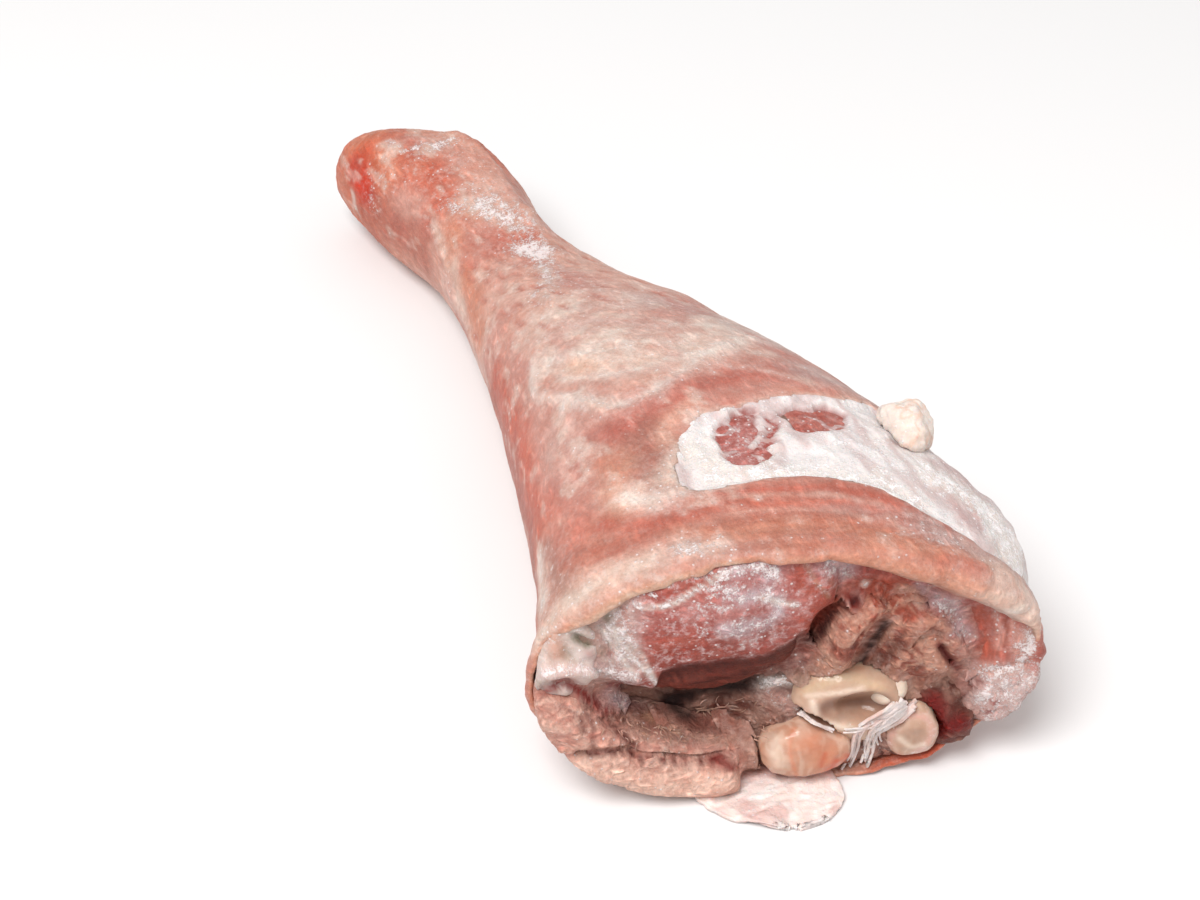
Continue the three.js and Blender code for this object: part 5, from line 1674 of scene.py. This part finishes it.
def makeTissue():
    setup = tissuePiece
    filled = kneeMap.spread(kneeMap.depth, 1, np.max)
    closed = kneeMap.spread(filled, setup["bridge"], np.max)
    closed = kneeMap.spread(closed, setup["bridge"], np.min)
    bridged = kneeMap.blur(np.maximum(closed, -30), 2)
    known = (kneeMap.depth > -90).astype(float)
    share = kneeMap.blur(known, 4)
    tint = kneeMap.blur(kneeMap.tint * known[..., None], 4) / np.maximum(share, 0.01)[..., None]
    rows = int((setup["top"] - setup["low"]) / setup["cell"])
    columns = int((setup["right"] - setup["left"]) / setup["cell"])
    mesh, row, column = gridMesh("tissueWeb", rows, columns)
    height = setup["low"] + row * setup["cell"]
    across = setup["left"] + column * setup["cell"]
    out = kneeMap.at(bridged, across, height) - setup["sunk"]
    # it is only kept in the gaps it closes, well inside the rim
    gap = kneeMap.at(kneeMap.blur(kneeMap.spread(closed - filled, 1, np.max), 1), across, height)
    gap = np.where(kneeMap.at(kneeMap.spread(closed, 2, np.min), across, height) < -14, 0, gap)
    points = place(np.zeros_like(across), across, np.zeros_like(across))
    points[:, 2] = height
    points[:, 0] += out + wrinkles(points, 0.8, 1.8, 171, 3)
    setPoints(mesh, points)
    gap = np.where(legPlaces(points)[4] > 0.9, 0, gap)
    for (middle, level), (wide, tall) in setup["open"]:
        gap = np.where(np.hypot((across - middle) / wide, (height - level) / tall) < 1, 0, gap)
    keepValues(mesh, gap=gap)
    with editing(mesh) as bm:
        layer = bm.verts.layers.float["gap"]
        cutAway(bm, lambda face: max(v[layer] for v in face.verts) < 1.0)
        flipIf(bm, sum(f.normal.x for f in bm.faces) < 0)
    mesh = thicken(mesh, setup["sheet"])
    points = pointsOf(mesh)
    across, height, out = cutPlaces(points)
    coat = Coat(points, "deep", 0.12, 0.4)
    # painted shade: the tissue in the gaps takes its neighbours' colour, darker and redder
    coat.tint = kneeMap.at(tint, across, height) * setup["gapShade"]
    paintCut(coat, kneeStrokes)
    strands = ridged(points, 1.8, 171, 3)
    coat.wash(smooth(strands, 0.8, 0.97) * 0.35, "palePink", 0.25)
    coat.wash(smooth(strands, 0.5, 0.2) * 0.5, "darkRed")
    return dress(newObject("tissueWeb", mesh), coat, finishes["dryMeat"], "dry_meat")


# Thin strands as one mesh: each is a row of points in mm and a radius at each point.
def strandMesh(name, strands):
    curve = bpy.data.curves.new(name, "CURVE")
    curve.dimensions = "3D"
    curve.bevel_depth = mm
    curve.bevel_resolution = 0
    curve.use_fill_caps = True
    for points, radii in strands:
        line = curve.splines.new("POLY")
        line.points.add(len(points) - 1)
        for knot, spot, radius in zip(line.points, points, radii):
            knot.co = (*(spot * mm), 1)
            knot.radius = radius
    rope = newObject(name, curve)
    mesh = finalMesh(rope)
    bpy.data.objects.remove(rope)
    bpy.data.curves.remove(curve)
    mesh.name = name
    return mesh


# A row of points over the cut, standing a little out from what is there.
def overCut(across, height, lift, level):
    where = np.stack([across, height], axis=1)
    points = unseen(where, np.full(len(across), -2.0))
    for _ in range(3):
        spot = cutPlaces(points)
        points = unseen(where, np.clip(kneeMap.at(level, spot[0], spot[1]), -12, 6) + lift)
    return keepUp(points, 0.4)


fibrePiece = {
    "count": 150,
    "spots": [  # middle across and up, half sizes, share of the fibres, lean in degrees
        ((-19, 17), (8, 4), 0.45, -35), ((-9, 15), (5, 3.5), 0.25, 15),
        ((-28, 19), (4, 5), 0.2, -50), ((-13, 20), (7, 2.5), 0.1, 5),
    ],
    "leanSpread": 38, "length": (1.0, 3.0), "radius": (0.08, 0.2), "sunk": 0.1,
    "taper": np.array([0.5, 1, 1, 0.9, 0.7, 0.3]),
}


def makeFibres():
    setup = fibrePiece
    rng = np.random.default_rng(181)
    level = kneeMap.blur(np.maximum(kneeMap.spread(kneeMap.depth, 1, np.max), -30), 1)
    strands = []
    for (middle, up), (wide, tall), share, lean in setup["spots"]:
        for _ in range(int(setup["count"] * share)):
            start = np.array([middle, up]) + rng.normal(0, 0.5, 2) * (wide, tall)
            turn = math.radians(lean + rng.normal(0, setup["leanSpread"]))
            length = rng.uniform(*setup["length"])
            along = np.linspace(0, 1, len(setup["taper"]))
            bow = (along - along**2) * 4
            aside = rng.normal(0, 0.14) * length * bow
            across = start[0] + length * along * math.cos(turn) - aside * math.sin(turn)
            height = start[1] + length * along * math.sin(turn) + aside * math.cos(turn)
            arch = rng.uniform(0.0, 0.5) * bow
            points = overCut(across, np.maximum(height, 1), arch - setup["sunk"], level)
            strands.append((points, rng.uniform(*setup["radius"]) * setup["taper"]))
    mesh = strandMesh("tissueFibres", strands)
    coat = Coat(pointsOf(mesh), "fibre", 0.2, 0.1)
    coat.patches(noise, (3, 182, 2), (0.45, 0.65), 0.8, "deepPale", 0.1)
    coat.patches(noise, (5, 183, 2), (0.55, 0.7), 0.7, "lobe", 0.3)
    return dress(newObject("tissueFibres", mesh), coat, finishes["fat"], "dry_meat")


tendonPiece = {
    # a line across and up the cut, how many strands lie side by side, their radius, and how far
    # they stand out
    "bundles": [
        ([(23, 20), (20.2, 16.2), (17.8, 14.3), (15.2, 12), (14.7, 6.1), (13, 0.6)],
         12, 0.5, -0.15),
        ([(22.7, 19), (19, 15), (16.6, 11.6), (17.4, 8)], 7, 0.4, 0.0),
        ([(17.6, 14.2), (14, 12.6), (9, 12.6)], 3, 0.4, -0.1),
        ([(-3, 26), (0.6, 26.2), (4, 27)], 4, 0.4, -0.2),
        ([(2, 18.4), (5, 15.4), (9, 13)], 4, 0.4, -0.3),
    ],
    "knots": 12,
}


def makeTendons():
    rng = np.random.default_rng(191)
    knots = tendonPiece["knots"]
    level = kneeMap.blur(np.maximum(kneeMap.spread(kneeMap.depth, 1, np.max), -30), 2)
    strands = []
    for path, count, radius, lift in tendonPiece["bundles"]:
        for index in range(count):
            share = np.linspace(rng.uniform(0, 0.1), rng.uniform(0.78, 1.0), knots)
            line = lineThrough(path, share)
            lean = np.gradient(line, axis=0)
            lean /= np.linalg.norm(lean, axis=1)[:, None]
            offset = (index - (count - 1) / 2) * radius * 0.8
            offset += np.cumsum(rng.normal(0, 0.1, knots))
            line = line + np.stack([-lean[:, 1], lean[:, 0]], axis=1) * offset[:, None]
            waves = np.cumsum(rng.normal(0, 0.05, knots))
            points = overCut(*line.T, lift + waves, level)
            thick = radius * rng.uniform(0.7, 1.2) * np.linspace(1.1, 0.65, knots)
            strands.append((points, thick))
    mesh = strandMesh("tendonStrands", strands)
    coat = Coat(pointsOf(mesh), "flap", 0.42, 0.4)
    coat.patches(noise, (2.4, 192, 2), (0.5, 0.7), 0.6, "palePink", 0.2)
    return dress(newObject("tendonStrands", mesh), coat, finishes["fat"], "cartilage")


makeTissue()
makeFibres()
makeTendons()


# ---- tongue of skin on the floor in front of the cut ----

tonguePiece = {
    "rows": 60, "columns": 80, "across": -4, "halfWidth": 14, "root": -5, "reach": 12.6,
    "thickness": 1.5, "wave": 0.6, "rootRise": 0.6, "sheet": 0.9,
}


def makeTongue():
    setup = tonguePiece
    mesh, row, column = gridMesh("skinTongue", setup["rows"], setup["columns"])
    s = row / setup["rows"]
    v = 2 * column / setup["columns"] - 1
    narrow = np.sqrt(np.maximum(1 - np.maximum(s - 0.35, 0) ** 2 / 0.43, 0.02))
    flat = np.stack([s * 20, v * 14, np.zeros_like(s)], axis=1)
    ragged = bumps(flat, 2.4, 5, 161, 3)
    across = setup["across"] + (setup["halfWidth"] + ragged * (np.abs(v) > 0.5)) * v * narrow
    out = setup["root"] + (setup["reach"] - setup["root"]) * s + ragged * smooth(s, 0.6, 1)
    points = place(np.zeros_like(s), across, np.zeros_like(s), out)
    wave = setup["wave"] * s * (1 + np.sin(across * 0.33 + 5 * s))
    points[:, 2] = wave + setup["thickness"] * (1 - 0.55 * s)
    points[:, 2] += setup["rootRise"] * smooth(s, 0.45, 0)
    wrinkle = wrinkles(points, 0.8, 2.2, 162, 2, (0.8, 1.6, 1))
    points[:, 2] += wrinkle * smooth(s, 0, 0.2)
    edge = smooth(np.maximum(np.abs(v), s), 0.88, 1)
    points[:, 2] = np.maximum(points[:, 2] - edge * 0.5, 1.1)
    setPoints(mesh, points)
    with editing(mesh) as bm:
        flipIf(bm, sum(f.normal.z for f in bm.faces) < 0)
    mesh = thicken(mesh, setup["sheet"])
    points = keepUp(pointsOf(mesh))
    setPoints(mesh, points)
    coat = Coat(points, "flap", 0.3, 0.3)
    coat.patches(ridged, (2.4, 163, 2, (0.8, 1.6, 1)), (0.7, 0.95), 0.7, "flapWhite", 0.4)
    outward = cutPlaces(points)[2]
    coat.wash(smooth(outward, 3, -3) * 0.7, "orangeEdge", 0.1)
    coat.patches(noise, (5, 164, 2), (0.55, 0.75), 0.35, "rosy")
    return dress(newObject("skinTongue", mesh), coat, finishes["fat"], "skin")


makeTongue()


# ---- floor, light and camera ----

studio = {
    "floor": (0.8, 0.79, 0.79, 1), "floorHalf": 4, "sky": (1, 0.995, 0.985, 1), "world": 0.66,
    # spot in metres, size in metres, power in watts
    "lights": {
        "keyLight": ((0.42, -0.5, 1.0), 0.6, 12.8), "fillLight": ((0.9, 0.9, 0.7), 1.0, 1.6),
    },
}


def makeStudio():
    mesh = bpy.data.meshes.new("floor")
    with editing(mesh) as bm:
        bmesh.ops.create_grid(bm, x_segments=1, y_segments=1, size=studio["floorHalf"])
    floor = newObject("floor", mesh)
    paint = Finish("floorPaint")
    paint.shader.inputs["Base Color"].default_value = studio["floor"]
    paint.shader.inputs["Roughness"].default_value = 0.9
    paint.shader.inputs["Specular IOR Level"].default_value = 0.1
    mesh.materials.append(paint.material)
    world = bpy.data.worlds.new("softBox")
    world.use_nodes = True
    sky = world.node_tree.nodes["Background"].inputs
    sky["Color"].default_value = studio["sky"]
    sky["Strength"].default_value = studio["world"]
    bpy.context.scene.world = world
    for name, settings in studio["lights"].items():
        addLight(name, *settings)
    scene = bpy.context.scene
    scene.view_settings.view_transform = "Standard"
    scene.view_settings.look = "None"
    scene.view_settings.exposure = 0
    scene.view_settings.gamma = 1


def addLight(name, spot, size, power):
    light = bpy.data.lights.new(name, "AREA")
    light.shape = "DISK"
    light.size = size
    light.energy = power
    lamp = newObject(name, light)
    lamp.location = spot
    lamp.rotation_euler = (-Vector(spot)).to_track_quat("-Z", "Y").to_euler()


def makeCamera():
    data = bpy.data.cameras.new("photoCamera")
    data.sensor_width = 36
    data.lens = camera["focalPixels"] / camera["imageWidth"] * data.sensor_width
    data.clip_start = 0.01
    data.clip_end = 50
    eye = newObject("photoCamera", data)
    eye.location = Vector(eyePoint * mm)
    eye.rotation_euler = (-Vector(back)).to_track_quat("-Z", "Y").to_euler()
    bpy.context.scene.camera = eye


makeStudio()
makeCamera()
print("studio made")
